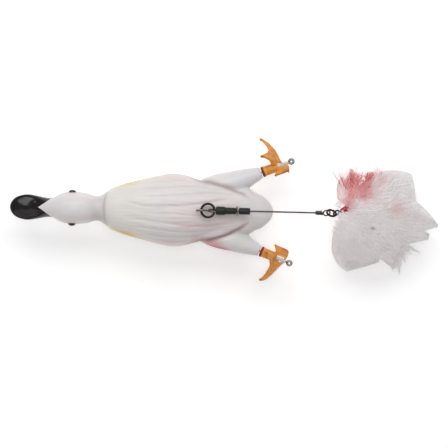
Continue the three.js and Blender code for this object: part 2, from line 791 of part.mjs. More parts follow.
// Treble hook. Local X runs down the shank, local Y to the bird's right.
const hook = new THREE.Group();
hook.position.set(HOOK_EYE.x, HOOK_EYE.y, HOOK_EYE.z);
hook.rotation.set(0, HOOK_PITCH, HOOK_YAW, "ZYX");
{
  let h = join(
    rod(1.6, SHANK, 0.75, 8),
    ring(1.62, 0.5, 16, 6).rotateX((42 * Math.PI) / 180),
  );
  for (const angle of PRONG_ANGLES) {
    const a = (angle * Math.PI) / 180;
    const side = V(0, Math.cos(a), Math.sin(a));
    const path = [
      [SHANK - 5, 0.2], [SHANK - 1, 0.6], [SHANK + 2.4, 1.9], [SHANK + 4.6, 4.2], [SHANK + 5.0, 6.6],
      [SHANK + 3.8, 9.0], [SHANK + 1.0, 10.5], [SHANK - 3, 10.9], [SHANK - 8, HOOK_GAPE], [SHANK - 13.5, HOOK_GAPE - 0.4],
    ].map(([s, r]) => V(s, 0, 0).addScaledVector(side, r));
    const pts = smooth(path, 14);
    const radii = pts.map((_, i) => (i < 11 ? 0.6 : lerp(0.6, 0.12, (i - 11) / 3)));
    h = h.add(solid(bar(pts, radii, 6)));
  }
  hook.add(mesh("treble_hook", h, BLACK_NICKEL));
  hook.add(
    mesh(
      "thread_whipping",
      turned(
        [
          [2.9, 1.1], [2.9, 1.7], [4.0, 2.3], [6.5, 2.45], [8.6, 2.0], [9.6, 1.4], [9.6, 1.1], [2.9, 1.1],
        ],
        12,
      ),
      RED_THREAD,
    ),
  );
}
lure.add(hook);

for (const f of FEATHERS)
  lure.add(
    mesh(
      f.name,
      leaf(f.plan, f.widths, f.layer, f.surface ?? canopy),
      FEATHER_MATERIAL[f.material ?? "white"],
    ),
  );

export default lure;
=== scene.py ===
import json
import math

import bmesh
import bpy
import numpy as np
from mathutils import Matrix, Vector


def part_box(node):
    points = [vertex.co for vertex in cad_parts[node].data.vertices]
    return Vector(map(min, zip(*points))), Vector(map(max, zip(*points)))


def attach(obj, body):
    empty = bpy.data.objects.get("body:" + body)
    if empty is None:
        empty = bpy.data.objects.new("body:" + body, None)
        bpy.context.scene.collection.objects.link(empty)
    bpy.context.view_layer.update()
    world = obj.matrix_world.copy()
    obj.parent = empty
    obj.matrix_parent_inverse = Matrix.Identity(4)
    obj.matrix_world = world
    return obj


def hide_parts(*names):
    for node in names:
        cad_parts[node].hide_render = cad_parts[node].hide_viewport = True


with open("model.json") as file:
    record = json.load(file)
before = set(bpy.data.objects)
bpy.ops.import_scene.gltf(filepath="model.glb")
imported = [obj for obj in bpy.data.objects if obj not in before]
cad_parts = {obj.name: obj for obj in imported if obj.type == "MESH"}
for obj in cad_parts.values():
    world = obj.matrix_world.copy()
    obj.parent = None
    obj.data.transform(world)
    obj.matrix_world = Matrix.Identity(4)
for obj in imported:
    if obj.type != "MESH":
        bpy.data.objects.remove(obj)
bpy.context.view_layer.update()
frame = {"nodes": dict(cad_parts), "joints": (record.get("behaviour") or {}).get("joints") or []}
MM = 0.001
JOINTS = {j["name"]: j for j in frame["joints"]}


# ------------------------------------------------------------------ small tools
def rng(seed):
    return np.random.default_rng(seed)


def unit(v):
    v = np.asarray(v, float)
    return v / np.linalg.norm(v)


def sstep(a, b, x):
    t = np.clip((np.asarray(x, float) - a) / (b - a), 0, 1)
    return t * t * (3 - 2 * t)


def gauss(d, s):
    return np.exp(-(np.asarray(d, float) / s) ** 2)


def make(name, verts, faces, body, mats, replaces=(), smooth=True, attrs=None, mat_index=None):
    """A mesh object from mm vertices in the row frame, riding a body."""
    me = bpy.data.meshes.new(name)
    me.from_pydata((np.asarray(verts, float) * MM).tolist(), [], [list(map(int, f)) for f in faces])
    me.update()
    o = bpy.data.objects.new(name, me)
    bpy.context.scene.collection.objects.link(o)
    for m in mats if isinstance(mats, (list, tuple)) else [mats]:
        me.materials.append(m)
    if smooth:
        me.polygons.foreach_set("use_smooth", [True] * len(me.polygons))
    if mat_index is not None:
        me.polygons.foreach_set("material_index", np.asarray(mat_index, np.int32))
    for key, values in (attrs or {}).items():
        values = np.asarray(values, float)
        if values.ndim == 1:
            a = me.attributes.new(key, "FLOAT", "POINT")
            a.data.foreach_set("value", values.astype(np.float32))
        else:
            a = me.attributes.new(key, "FLOAT_COLOR", "POINT")
            rgba = np.ones((len(values), 4), np.float32)
            rgba[:, :3] = values
            a.data.foreach_set("color", rgba.ravel())
    finish_piece(o, body, replaces)
    return o


def finish_piece(o, body, replaces=()):
    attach(o, body)
    if replaces:
        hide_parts(*replaces)
    return o


def transport(points, start=None, closed=False):
    """Tangents and two cross directions along points, with no twist."""
    p = np.asarray(points, float)
    if closed:
        t = np.roll(p, -1, 0) - np.roll(p, 1, 0)
    else:
        t = np.gradient(p, axis=0)
    t /= np.linalg.norm(t, axis=1)[:, None]
    n = np.array(start if start is not None else ([0, 0, 1] if abs(t[0][2]) < 0.9 else [1, 0, 0]), float)
    ns = []
    for d in t:
        n = n - d * n.dot(d)
        n = n / np.linalg.norm(n)
        ns.append(n)
    ns = np.array(ns)
    return t, ns, np.cross(t, ns)


def sweep(points, radii, sides=12, section=None, start=None, closed=False, round_ends=True):
    """Verts and faces of a closed bar along points. section is a list of (a, b) on a unit shape."""
    p = np.asarray(points, float)
    r = np.full(len(p), radii, float) if np.isscalar(radii) else np.asarray(radii, float)
    if round_ends and not closed:
        t0, t1 = unit(p[0] - p[1]), unit(p[-1] - p[-2])
        p = np.vstack([p[0] + t0 * r[0] * 0.5, p[0] + t0 * r[0] * 0.32, p, p[-1] + t1 * r[-1] * 0.32, p[-1] + t1 * r[-1] * 0.5])
        r = np.concatenate([[r[0] * 0.45, r[0] * 0.8], r, [r[-1] * 0.8, r[-1] * 0.45]])
    t, n, b = transport(p, start, closed)
    if section is None:
        a = np.linspace(0, 2 * np.pi, sides, endpoint=False)
        section = np.column_stack([np.cos(a), np.sin(a)])
    section = np.asarray(section, float)
    m = len(section)
    v = (p[:, None, :] + r[:, None, None] * (section[None, :, 0, None] * n[:, None, :] + section[None, :, 1, None] * b[:, None, :])).reshape(-1, 3)
    f = []
    rings = len(p)
    for i in range(rings if closed else rings - 1):
        j = (i + 1) % rings
        for k in range(m):
            l = (k + 1) % m
            f.append((i * m + k, i * m + l, j * m + l, j * m + k))
    if not closed:
        f.append(tuple(range(m))[::-1])
        f.append(tuple((rings - 1) * m + k for k in range(m)))
    return v, f


def lathe(profile, sides=48, closed=True):
    """A turned body about local X: profile of (along, radius). closed joins the last point to the first."""
    prof = np.asarray(profile, float)
    v, f = [], []
    a = np.linspace(0, 2 * np.pi, sides, endpoint=False)
    for x, r in prof:
        v += [(x, r * math.cos(k), r * math.sin(k)) for k in a]
    n = len(prof)
    for i in range(n if closed else n - 1):
        j = (i + 1) % n
        for k in range(sides):
            l = (k + 1) % sides
            f.append((i * sides + k, i * sides + l, j * sides + l, j * sides + k))
    if not closed:
        f.append(tuple(range(sides))[::-1])
        f.append(tuple((n - 1) * sides + k for k in range(sides)))
    return np.array(v), f


def merge(*parts):
    v, f, k = [], [], 0
    for pv, pf in parts:
        v.append(np.asarray(pv, float))
        f += [tuple(i + k for i in q) for q in pf]
        k += len(pv)
    return np.vstack(v), f


def move(part, origin, x_axis, y_hint=(0, 1, 0)):
    """Local to row frame: local X along x_axis, local Y near y_hint."""
    x = unit(x_axis)
    y = np.asarray(y_hint, float)
    y = unit(y - x * y.dot(x))
    z = np.cross(x, y)
    m = np.column_stack([x, y, z])
    return np.asarray(part[0]) @ m.T + np.asarray(origin, float), part[1]


def outward(o):
    bm = bmesh.new()
    bm.from_mesh(o.data)
    bmesh.ops.recalc_face_normals(bm, faces=bm.faces)
    bm.to_mesh(o.data)
    bm.free()
    return o


def resample(points, count):
    p = np.asarray(points, float)
    s = np.concatenate([[0], np.cumsum(np.linalg.norm(np.diff(p, axis=0), axis=1))])
    t = np.linspace(0, s[-1], count)
    return np.column_stack([np.interp(t, s, p[:, k]) for k in range(3)])


def spline(points, count):
    """Centripetal Catmull-Rom through points."""
    p = np.asarray(points, float)
    p = np.vstack([2 * p[0] - p[1], p, 2 * p[-1] - p[-2]])
    out = []
    per = max(2, int(math.ceil(count / (len(p) - 3))))
    for i in range(1, len(p) - 2):
        p0, p1, p2, p3 = p[i - 1], p[i], p[i + 1], p[i + 2]
        d = [max(np.linalg.norm(b - a) ** 0.5, 1e-6) for a, b in ((p0, p1), (p1, p2), (p2, p3))]
        t0, t1 = 0, d[0]
        t2 = t1 + d[1]
        t3 = t2 + d[2]
        for t in np.linspace(t1, t2, per, endpoint=False):
            a1 = (t1 - t) / (t1 - t0) * p0 + (t - t0) / (t1 - t0) * p1
            a2 = (t2 - t) / (t2 - t1) * p1 + (t - t1) / (t2 - t1) * p2
            a3 = (t3 - t) / (t3 - t2) * p2 + (t - t2) / (t3 - t2) * p3
            b1 = (t2 - t) / (t2 - t0) * a1 + (t - t0) / (t2 - t0) * a2
            b2 = (t3 - t) / (t3 - t1) * a2 + (t - t1) / (t3 - t1) * a3
            out.append((t2 - t) / (t2 - t1) * b1 + (t - t1) / (t2 - t1) * b2)
    out.append(p[-2])
    return resample(np.array(out), count)


def pchip(xs, ys, x):
    """Monotone cubic interpolation, straight beyond the ends."""
    xs, ys, x = (np.asarray(a, float) for a in (xs, ys, x))
    h = np.diff(xs)
    s = np.diff(ys) / h
    m = np.zeros(len(xs))
    for i in range(1, len(xs) - 1):
        if s[i - 1] * s[i] > 0:
            w1, w2 = 2 * h[i] + h[i - 1], h[i] + 2 * h[i - 1]
            m[i] = (w1 + w2) / (w1 / s[i - 1] + w2 / s[i])
    m[0], m[-1] = s[0], s[-1]
    i = np.clip(np.searchsorted(xs, x) - 1, 0, len(h) - 1)
    t = (x - xs[i]) / h[i]
    tc = np.clip(t, 0, 1)
    y = (
        (1 + 2 * tc) * (1 - tc) ** 2 * ys[i]
        + tc * (1 - tc) ** 2 * h[i] * m[i]
        + tc**2 * (3 - 2 * tc) * ys[i + 1]
        + tc**2 * (tc - 1) * h[i] * m[i + 1]
    )
    y = np.where(t < 0, ys[0] + m[0] * (x - xs[0]), y)
    return np.where(t > 1, ys[-1] + m[-1] * (x - xs[-1]), y)


# ------------------------------------------------------------------ materials
def material(name):
    m = bpy.data.materials.new(name)
    m.use_nodes = True
    nt = m.node_tree
    bsdf = nt.nodes["Principled BSDF"]
    return m, nt, bsdf


class Net:
    """Short names for making shader nodes."""

    def __init__(self, nt):
        self.nt = nt

    def node(self, kind, **settings):
        n = self.nt.nodes.new(kind)
        for k, v in settings.items():
            setattr(n, k, v)
        return n

    def link(self, a, b):
        self.nt.links.new(a, b)

    def put(self, socket, value):
        if hasattr(value, "is_output"):
            self.link(value, socket)
        elif hasattr(value, "__len__") and hasattr(socket.default_value, "__len__"):
            v = list(value)
            if len(socket.default_value) == 4 and len(v) == 3:
                v.append(1.0)
            socket.default_value = v
        else:
            socket.default_value = value

    def math(self, op, a, b=None, c=None, clamp=False):
        n = self.node("ShaderNodeMath", operation=op, use_clamp=clamp)
        self.put(n.inputs[0], a)
        if b is not None:
            self.put(n.inputs[1], b)
        if c is not None:
            self.put(n.inputs[2], c)
        return n.outputs[0]

    def mix(self, fac, a, b, mode="MIX"):
        n = self.node("ShaderNodeMix", data_type="RGBA", blend_type=mode)
        self.put(n.inputs[0], fac)
        self.put(n.inputs[6], a)
        self.put(n.inputs[7], b)
        return n.outputs[2]

    def mixf(self, fac, a, b):
        n = self.node("ShaderNodeMix", data_type="FLOAT")
        self.put(n.inputs[0], fac)
        self.put(n.inputs[2], a)
        self.put(n.inputs[3], b)
        return n.outputs[0]

    def coords(self, scale=(1, 1, 1)):
        tc = self.node("ShaderNodeTexCoord")
        mp = self.node("ShaderNodeMapping")
        mp.inputs["Scale"].default_value = scale
        self.link(tc.outputs["Object"], mp.inputs["Vector"])
        return mp.outputs[0]

    def noise(self, vec, scale, detail=3.0, rough=0.5, distortion=0.0):
        n = self.node("ShaderNodeTexNoise")
        self.link(vec, n.inputs["Vector"])
        n.inputs["Scale"].default_value = scale
        n.inputs["Detail"].default_value = detail
        n.inputs["Roughness"].default_value = rough
        n.inputs["Distortion"].default_value = distortion
        return n.outputs["Fac"]

    def ramp(self, fac, stops):
        n = self.node("ShaderNodeValToRGB")
        r = n.color_ramp
        while len(r.elements) > 1:
            r.elements.remove(r.elements[-1])
        for i, (pos, col) in enumerate(stops):
            e = r.elements[0] if i == 0 else r.elements.new(pos)
            e.position = pos
            e.color = (*col, 1) if len(col) == 3 else col
        self.put(n.inputs[0], fac)
        return n.outputs[0]

    def span(self, v, a, b, c=0.0, d=1.0):
        n = self.node("ShaderNodeMapRange", interpolation_type="SMOOTHSTEP")
        self.put(n.inputs[0], v)
        for i, k in enumerate((a, b, c, d)):
            n.inputs[i + 1].default_value = k
        return n.outputs[0]

    def attr(self, name):
        return self.node("ShaderNodeAttribute", attribute_name=name)

    def bump(self, height, strength, distance, normal=None):
        n = self.node("ShaderNodeBump")
        n.inputs["Strength"].default_value = strength
        n.inputs["Distance"].default_value = distance
        self.put(n.inputs["Height"], height)
        if normal is not None:
            self.link(normal, n.inputs["Normal"])
        return n.outputs[0]


def srgb(r, g, b):
    def lin(c):
        c /= 255
        return c / 12.92 if c <= 0.04045 else ((c + 0.055) / 1.055) ** 2.4

    return (lin(r), lin(g), lin(b))


def mat_shell():
    m, nt, b = material("shell_lacquer")
    n = Net(nt)
    paint = n.attr("paint").outputs["Color"]
    tc = n.node("ShaderNodeTexCoord")
    xyz = n.node("ShaderNodeSeparateXYZ")
    n.link(tc.outputs["Object"], xyz.inputs[0])
    x, y, z = xyz.outputs
    ay = n.math("ABSOLUTE", y)
    wob = n.noise(n.coords(), 260, 2)
    wobble = n.math("MULTIPLY", n.math("SUBTRACT", wob, 0.5), 0.0007)
    # The white forehead runs into the black bill as a V; below the parting line the edge is nearly straight.
    top_edge = n.math("ADD", n.math("MULTIPLY", n.math("POWER", n.math("DIVIDE", ay, 0.0052), 0.92), 0.0076), -0.0745)
    low_edge = n.math("ADD", n.math("MULTIPLY", ay, 0.25), -0.0682)
    is_top = n.span(z, 0.0203, 0.0222)
    edge = n.math("ADD", n.mixf(is_top, low_edge, top_edge), wobble)
    black = n.span(n.math("SUBTRACT", edge, x), -0.00012, 0.00016)
    fine = n.noise(n.coords((0.35, 1.6, 1.6)), 420, 4, 0.6)
    soft = n.noise(n.coords((0.5, 1.2, 1.2)), 60, 3, 0.55)
    tint = n.ramp(soft, [(0.25, srgb(228, 227, 232)), (0.5, srgb(240, 237, 236)), (0.78, srgb(238, 228, 228))])
    white = n.mix(0.55, paint, n.mix(1.0, paint, tint, "MULTIPLY"))
    white = n.mix(n.math("MULTIPLY", n.span(fine, 0.35, 0.75), 0.07), white, srgb(196, 186, 186))
    brown = n.ramp(n.noise(n.coords(), 130, 3), [(0.3, srgb(6, 4, 4)), (0.7, srgb(20, 12, 11))])
    n.put(b.inputs["Base Color"], n.mix(black, white, brown))
    rough = n.mixf(black, n.math("ADD", n.math("MULTIPLY", fine, 0.10), 0.33), n.math("ADD", n.math("MULTIPLY", soft, 0.10), 0.10))
    n.put(b.inputs["Roughness"], rough)
    b.inputs["Specular IOR Level"].default_value = 0.42
    b.inputs["Coat Weight"].default_value = 0.12
    b.inputs["Coat Roughness"].default_value = 0.22
    b.inputs["Subsurface Weight"].default_value = 0.06
    b.inputs["Subsurface Radius"].default_value = (0.9, 0.6, 0.5)
    b.inputs["Subsurface Scale"].default_value = 0.0012
    streak = n.noise(n.coords((0.12, 1.0, 1.0)), 900, 3, 0.6)
    n.put(b.inputs["Normal"], n.bump(n.math("ADD", n.math("MULTIPLY", streak, 0.7), n.math("MULTIPLY", soft, 0.6)), 0.22, 0.00012))
    return m


def mat_shell_inside():
    m, nt, b = material("shell_inside")
    n = Net(nt)
    c = n.ramp(n.noise(n.coords(), 150, 4), [(0.3, srgb(205, 203, 200)), (0.7, srgb(226, 224, 220))])
    n.put(b.inputs["Base Color"], c)
    n.put(b.inputs["Roughness"], n.math("ADD", n.math("MULTIPLY", n.noise(n.coords(), 700, 3), 0.2), 0.4))
    return m


def mat_eye():
    m, nt, b = material("eye_gloss")
    n = Net(nt)
    c = n.ramp(n.noise(n.coords(), 500, 2), [(0.35, srgb(8, 7, 8)), (0.75, srgb(24, 18, 18))])
    n.put(b.inputs["Base Color"], c)
    n.put(b.inputs["Roughness"], n.math("ADD", n.math("MULTIPLY", n.noise(n.coords(), 900, 2), 0.06), 0.06))
    b.inputs["Coat Weight"].default_value = 0.7
    b.inputs["Coat Roughness"].default_value = 0.04
    return m


def mat_foot():
    m, nt, b = material("foot_orange")
    n = Net(nt)
    big = n.noise(n.coords(), 140, 3, 0.55)
    small = n.noise(n.coords(), 900, 4, 0.6)
    shade = n.attr("shade").outputs["Fac"]
    rim = n.attr("rim").outputs["Fac"]
    c = n.ramp(n.math("ADD", n.math("MULTIPLY", big, 0.45), n.math("MULTIPLY", small, 0.3)), [(0.18, srgb(216, 138, 46)), (0.42, srgb(235, 160, 66)), (0.62, srgb(246, 182, 92))])
    # Painted shade: darker orange where the shade attribute is high, dark red-brown round the collar's front rim.
    c = n.mix(n.math("MULTIPLY", shade, 0.85), c, srgb(166, 84, 26))
    c = n.mix(rim, c, srgb(118, 32, 16))
    n.put(b.inputs["Base Color"], c)
    n.put(b.inputs["Roughness"], n.math("ADD", n.math("MULTIPLY", small, 0.22), 0.30))
    b.inputs["Subsurface Weight"].default_value = 0.15
    b.inputs["Subsurface Radius"].default_value = (1.0, 0.45, 0.15)
    b.inputs["Subsurface Scale"].default_value = 0.0012
    b.inputs["Specular IOR Level"].default_value = 0.45
    n.put(b.inputs["Normal"], n.bump(n.math("ADD", n.math("MULTIPLY", big, 0.8), n.math("MULTIPLY", small, 0.5)), 0.35, 0.00012))
    return m


def mat_metal(name, light, dark, rough, scale=900, metallic=1.0):
    m, nt, b = material(name)
    n = Net(nt)
    grain = n.noise(n.coords((0.3, 1.4, 1.4)), scale, 4, 0.6)
    worn = n.noise(n.coords(), scale * 0.22, 3)
    c = n.ramp(n.math("ADD", n.math("MULTIPLY", grain, 0.5), n.math("MULTIPLY", worn, 0.5)), [(0.3, dark), (0.68, light)])
    n.put(b.inputs["Base Color"], c)
    b.inputs["Metallic"].default_value = metallic
    n.put(b.inputs["Roughness"], n.math("ADD", n.math("MULTIPLY", grain, 0.16), rough))
    n.put(b.inputs["Normal"], n.bump(grain, 0.12, 0.00004))
    return m


def mat_rubber():
    m, nt, b = material("rubber_black")
    n = Net(nt)
    grain = n.noise(n.coords(), 1500, 4, 0.65)
    worn = n.noise(n.coords((0.4, 1, 1)), 260, 3)
    n.put(b.inputs["Base Color"], n.ramp(worn, [(0.3, srgb(8, 8, 9)), (0.72, srgb(20, 20, 23))]))
    n.put(b.inputs["Roughness"], n.math("ADD", n.math("MULTIPLY", grain, 0.25), 0.42))
    n.put(b.inputs["Normal"], n.bump(grain, 0.3, 0.00008))
    return m


def mat_clear():
    m, nt, b = material("clear_tube")
    n = Net(nt)
    haze = n.noise(n.coords((0.4, 1, 1)), 600, 3)
    n.put(b.inputs["Base Color"], n.ramp(haze, [(0.3, srgb(236, 236, 232)), (0.7, srgb(250, 250, 248))]))
    n.put(b.inputs["Roughness"], n.math("ADD", n.math("MULTIPLY", haze, 0.12), 0.06))
    b.inputs["IOR"].default_value = 1.42
    b.inputs["Transmission Weight"].default_value = 0.35
    b.inputs["Alpha"].default_value = 0.78
    return m


def mat_thread():
    m, nt, b = material("red_thread")
    n = Net(nt)
    fibre = n.noise(n.coords((1, 1, 1)), 1600, 4, 0.6)
    n.put(b.inputs["Base Color"], n.ramp(fibre, [(0.28, srgb(120, 8, 22)), (0.55, srgb(188, 22, 44)), (0.8, srgb(222, 70, 84))]))
    n.put(b.inputs["Roughness"], n.math("ADD", n.math("MULTIPLY", fibre, 0.2), 0.18))
    b.inputs["Coat Weight"].default_value = 0.5
    b.inputs["Coat Roughness"].default_value = 0.12
    n.put(b.inputs["Normal"], n.bump(fibre, 0.3, 0.00006))
    return m


def mat_feather(name, see_through=0.3, glow=0.115):
    """Soft barbs: colour comes from the barb's own tint, with light passing through and a painted glow."""
    m, nt, b = material(name)
    n = Net(nt)
    tint = n.attr("tint").outputs["Color"]
    cloud = n.noise(n.coords(), 170, 3, 0.55)
    hair = n.noise(n.coords(), 2400, 3, 0.6)
    c = n.mix(n.math("MULTIPLY", n.span(cloud, 0.35, 0.75), 0.22), tint, n.mix(1.0, tint, srgb(226, 214, 216), "MULTIPLY"))
    c = n.mix(n.math("MULTIPLY", n.span(hair, 0.4, 0.8), 0.12), c, srgb(250, 249, 249))
    n.put(b.inputs["Base Color"], c)
    n.put(b.inputs["Roughness"], n.math("ADD", n.math("MULTIPLY", hair, 0.2), 0.62))
    b.inputs["Specular IOR Level"].default_value = 0.25
    b.inputs["Sheen Weight"].default_value = 0.25
    b.inputs["Sheen Roughness"].default_value = 0.5
    # Painted light: a faint emission glow in the barbs' own colour brightens the feathers, standing in for light
    # scattered among the barbs.
    n.put(b.inputs["Emission Color"], c)
    b.inputs["Emission Strength"].default_value = glow
    out = nt.nodes["Material Output"]
    tr = n.node("ShaderNodeBsdfTranslucent")
    n.put(tr.inputs["Color"], c)
    mx = n.node("ShaderNodeMixShader")
    mx.inputs[0].default_value = see_through
    n.link(b.outputs[0], mx.inputs[1])
    n.link(tr.outputs[0], mx.inputs[2])
    n.link(mx.outputs[0], out.inputs["Surface"])
    return m


def mat_quill():
    m, nt, b = material("quill")
    n = Net(nt)
    c = n.ramp(n.noise(n.coords(), 700, 3), [(0.3, srgb(206, 198, 190)), (0.7, srgb(230, 225, 219))])
    n.put(b.inputs["Base Color"], c)
    n.put(b.inputs["Roughness"], n.math("ADD", n.math("MULTIPLY", n.noise(n.coords(), 1200, 2), 0.15), 0.3))
    b.inputs["Subsurface Weight"].default_value = 0.1
    b.inputs["Subsurface Scale"].default_value = 0.0006
    return m


def mat_cast(name):
    m, nt, b = material(name)
    n = Net(nt)
    big = n.noise(n.coords(), 300, 4, 0.6)
    fine = n.noise(n.coords(), 1400, 4, 0.6)
    n.put(b.inputs["Base Color"], n.ramp(big, [(0.3, srgb(84, 86, 90)), (0.7, srgb(128, 131, 136))]))
    b.inputs["Metallic"].default_value = 0.85
    n.put(b.inputs["Roughness"], n.math("ADD", n.math("MULTIPLY", fine, 0.3), 0.42))
    n.put(b.inputs["Normal"], n.bump(fine, 0.4, 0.0002))
    return m


SHELL, INSIDE, EYE, FOOT = mat_shell(), mat_shell_inside(), mat_eye(), mat_foot()
WIRE = mat_metal("wire_steel", srgb(176, 168, 162), srgb(96, 88, 84), 0.15)
TRACE = mat_metal("trace_steel", srgb(122, 112, 110), srgb(70, 62, 62), 0.22)
RING = mat_metal("black_nickel", srgb(52, 46, 45), srgb(14, 11, 11), 0.22, metallic=0.75)
HOOK = mat_metal("hook_nickel", srgb(96, 90, 88), srgb(34, 30, 30), 0.15)
RUBBER, CLEAR, THREAD, QUILL, CAST = mat_rubber(), mat_clear(), mat_thread(), mat_quill(), mat_cast("cast_weight")
# Both feather materials carry the painted emission glow.
FEATHER = mat_feather("feather_soft", 0.14)
FLUFF = mat_feather("tuft_soft", 0.2, 0.1)

# ------------------------------------------------------------------ body
STATIONS = np.array([
    [-89.6, 0, 20.5, 20.9, 20.1], [-88.4, 3.4, 20.5, 22.0, 18.8], [-84.7, 5.8, 20.6, 22.9, 18.3], [-80.3, 6.65, 20.7, 23.5, 18.1],
    [-76.8, 6.2, 20.8, 24.3, 17.9], [-73.1, 5.5, 21.1, 26.0, 17.5], [-69.4, 5.0, 21.8, 28.4, 16.8], [-66.8, 5.15, 22.6, 30.2, 16.1],
    [-64.2, 6.6, 23.2, 31.7, 15.4], [-60.5, 8.05, 23.7, 33.0, 14.7], [-56.4, 8.4, 23.8, 33.6, 14.3], [-52.6, 8.3, 23.5, 33.2, 14.1],
    [-48.4, 7.8, 22.8, 31.7, 14.0], [-46.3, 6.95, 22.3, 30.6, 13.8], [-43.9, 6.35, 21.6, 29.6, 13.2], [-42.1, 6.65, 21.2, 29.3, 12.4],
    [-39.5, 8.3, 20.8, 29.8, 11.0], [-36.8, 10.0, 20.5, 30.6, 9.2], [-34.2, 11.3, 20.3, 31.4, 7.6], [-31.6, 12.3, 20.1, 32.0, 6.2],
    [-27.7, 13.8, 19.8, 32.9, 4.4], [-21.1, 15.6, 19.4, 34.3, 2.2], [-12.5, 17.8, 19.2, 35.5, 0.1], [-3.7, 19.2, 19.0, 36.0, -0.7],
    [2.8, 18.4, 19.0, 35.8, -0.7], [10.5, 16.0, 19.2, 35.0, 0.3], [18.4, 14.2, 19.6, 33.6, 2.5], [26.3, 13.1, 20.1, 31.7, 5.8],
    [35.8, 12.1, 20.5, 29.0, 10.6], [39.3, 10.0, 20.5, 27.8, 12.7], [42.8, 8.6, 20.5, 26.4, 14.8], [45.7, 6.1, 20.5, 24.8, 16.8],
    [47.9, 3.4, 20.5, 22.8, 18.8], [48.8, 0, 20.5, 20.9, 20.1]])
_lo, _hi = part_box("upper_shell")
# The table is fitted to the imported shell's own length.
_k = (_hi.x - _lo.x) / MM / (STATIONS[-1, 0] - STATIONS[0, 0])
STATIONS[:, 0] = _lo.x / MM + (STATIONS[:, 0] - STATIONS[0, 0]) * _k
POWER = 2.15
PART_Z = 20.5
LEG_PROFILE = [(3, 1.2), (0, 2.95), (-3.5, 3.85), (-7, 4.85), (-15, 6.3), (-22, 7.5), (-30, 8.0), (-37, 5.5), (-45, 1.5)]

_x = np.linspace(-92, 51.5, 2871)
_w = STATIONS[:, 1]
_ru = _w[1:-1] / (STATIONS[1:-1, 3] - STATIONS[1:-1, 2])
_rl = _w[1:-1] / (STATIONS[1:-1, 2] - STATIONS[1:-1, 4])


def _blur(a, sigma_mm=0.9):
    s = sigma_mm / (_x[1] - _x[0])
    k = np.exp(-0.5 * (np.arange(-int(4 * s), int(4 * s) + 1) / s) ** 2)
    k /= k.sum()
    pad = len(k) // 2
    ext = np.concatenate([a[0] - (a[1] - a[0]) * np.arange(pad, 0, -1), a, a[-1] + (a[-1] - a[-2]) * np.arange(1, pad + 1)])
    return np.convolve(ext, k, "valid")


T_W = _blur(pchip(STATIONS[:, 0], _w**2, _x))
T_ZM = _blur(np.interp(_x, STATIONS[:, 0], STATIONS[:, 2]), 1.4)
T_RU = _blur(np.interp(_x, STATIONS[1:-1, 0], _ru), 1.4)
T_RL = _blur(np.interp(_x, STATIONS[1:-1, 0], _rl), 1.4)
LEGS = {}
for side, key in ((1, "right_foot_spin"), (-1, "left_foot_spin")):
    LEGS[side] = (np.array(JOINTS[key]["pos_m"]) / MM, unit(JOINTS[key]["axis"]))


def body_level(p):
    """About the distance from the body's skin, without the legs."""
    x, y, z = p[:, 0], p[:, 1], p[:, 2]
    W = np.interp(x, _x, T_W)
    zm = np.interp(x, _x, T_ZM)
    r = np.where(z > zm, np.interp(x, _x, T_RU), np.interp(x, _x, T_RL))
    q = (np.abs(y) ** POWER + (np.abs(z - zm) * r) ** POWER) ** (2 / POWER)
    return q - W


def body_distance(p, h=0.05):
    g = body_level(p)
    d = np.zeros((len(p), 3))
    for k in range(3):
        e = np.zeros(3)
        e[k] = h
        d[:, k] = (body_level(p + e) - body_level(p - e)) / (2 * h)
    return g / np.maximum(np.linalg.norm(d, axis=1), 0.8)


_lp = np.array(LEG_PROFILE[::-1])


def leg_distance(p, side):
    o, a = LEGS[side]
    v = p - o
    u = v @ a
    rho = np.linalg.norm(v - u[:, None] * a, axis=1)
    rr = np.interp(u, _lp[1:-1, 0], _lp[1:-1, 1])
    d = np.maximum((rho - rr) * 0.975, -36.0 - u)
    k = 0.5
    e = np.maximum(k - np.abs(d - u), 0) / k
    return np.maximum(d, u) + e * e * k * 0.25


def skin_distance(p):
    d = body_distance(p)
    for side in (1, -1):
        l = leg_distance(p, side)
        k = 1.7
        e = np.maximum(k - np.abs(d - l), 0) / k
        d = np.minimum(d, l) - e * e * k * 0.25
    return d


# Wing edges in plan, from the widest point to the tail, and the grooves of the folded wings.
WING_R = np.array([[-14, 21], [-4, 19.6], [0, 19.1], [8.4, 16.1], [16.8, 14.1], [23.7, 12.2], [31, 9.6], [38, 6.0]])
WING_L = np.array([[-14, -21], [-3, -19.4], [6.3, -17.2], [13, -15.4], [20, -13.6], [25.2, -11.8], [31, -8.7], [37.5, -4.6]])
GROOVES = [  # points in plan, depth, width
    ([[-30, 3.9], [-26, 3.3], [-18, 1.9], [-8, 2.0], [4, 2.7], [13, 4.0], [21, 5.5], [30, 6.4]], 0.34, 0.75),
    ([[-30, -4.6], [-22, -5.6], [-12, -7.2], [-2, -8.0], [10, -8.2], [21, -7.1], [29, -4.8]], 0.42, 0.8),
    ([[-26, 7.4], [-16, 7.0], [-4, 7.6], [6, 8.6], [15, 9.3], [25, 8.8], [33, 7.2]], 0.26, 0.7),
    ([[-24, 10.6], [-12, 11.2], [0, 12.3], [9, 12.2], [18, 11.0], [27, 9.4]], 0.22, 0.7),
    ([[-20, 13.6], [-10, 14.6], [0, 15.2], [8, 14.2], [16, 12.6]], 0.16, 0.8),
    ([[-28, -0.4], [-18, -1.6], [-8, -2.2], [4, -2.6], [16, -2.8], [27, -2.2]], 0.14, 0.9),
    ([[-26, -8.6], [-14, -10.4], [-3, -11.3], [8, -11.2], [18, -9.8], [27, -7.6]], 0.34, 0.7),
    ([[-22, -11.8], [-10, -13.6], [2, -14.0], [12, -12.6], [21, -10.7]], 0.3, 0.75),
    ([[-18, -14.4], [-8, -16.2], [2, -16.2], [10, -14.6]], 0.2, 0.8),
    ([[-33, 1.4], [-25, 0.9], [-17, -0.1], [-8, 0.2]], 0.1, 0.8),
    ([[8, 0.6], [17, 1.0], [26, 1.6], [34, 2.2]], 0.12, 0.8),
    ([[27, -1.5], [33, -2.2], [40, -2.2]], 0.1, 0.8),
]


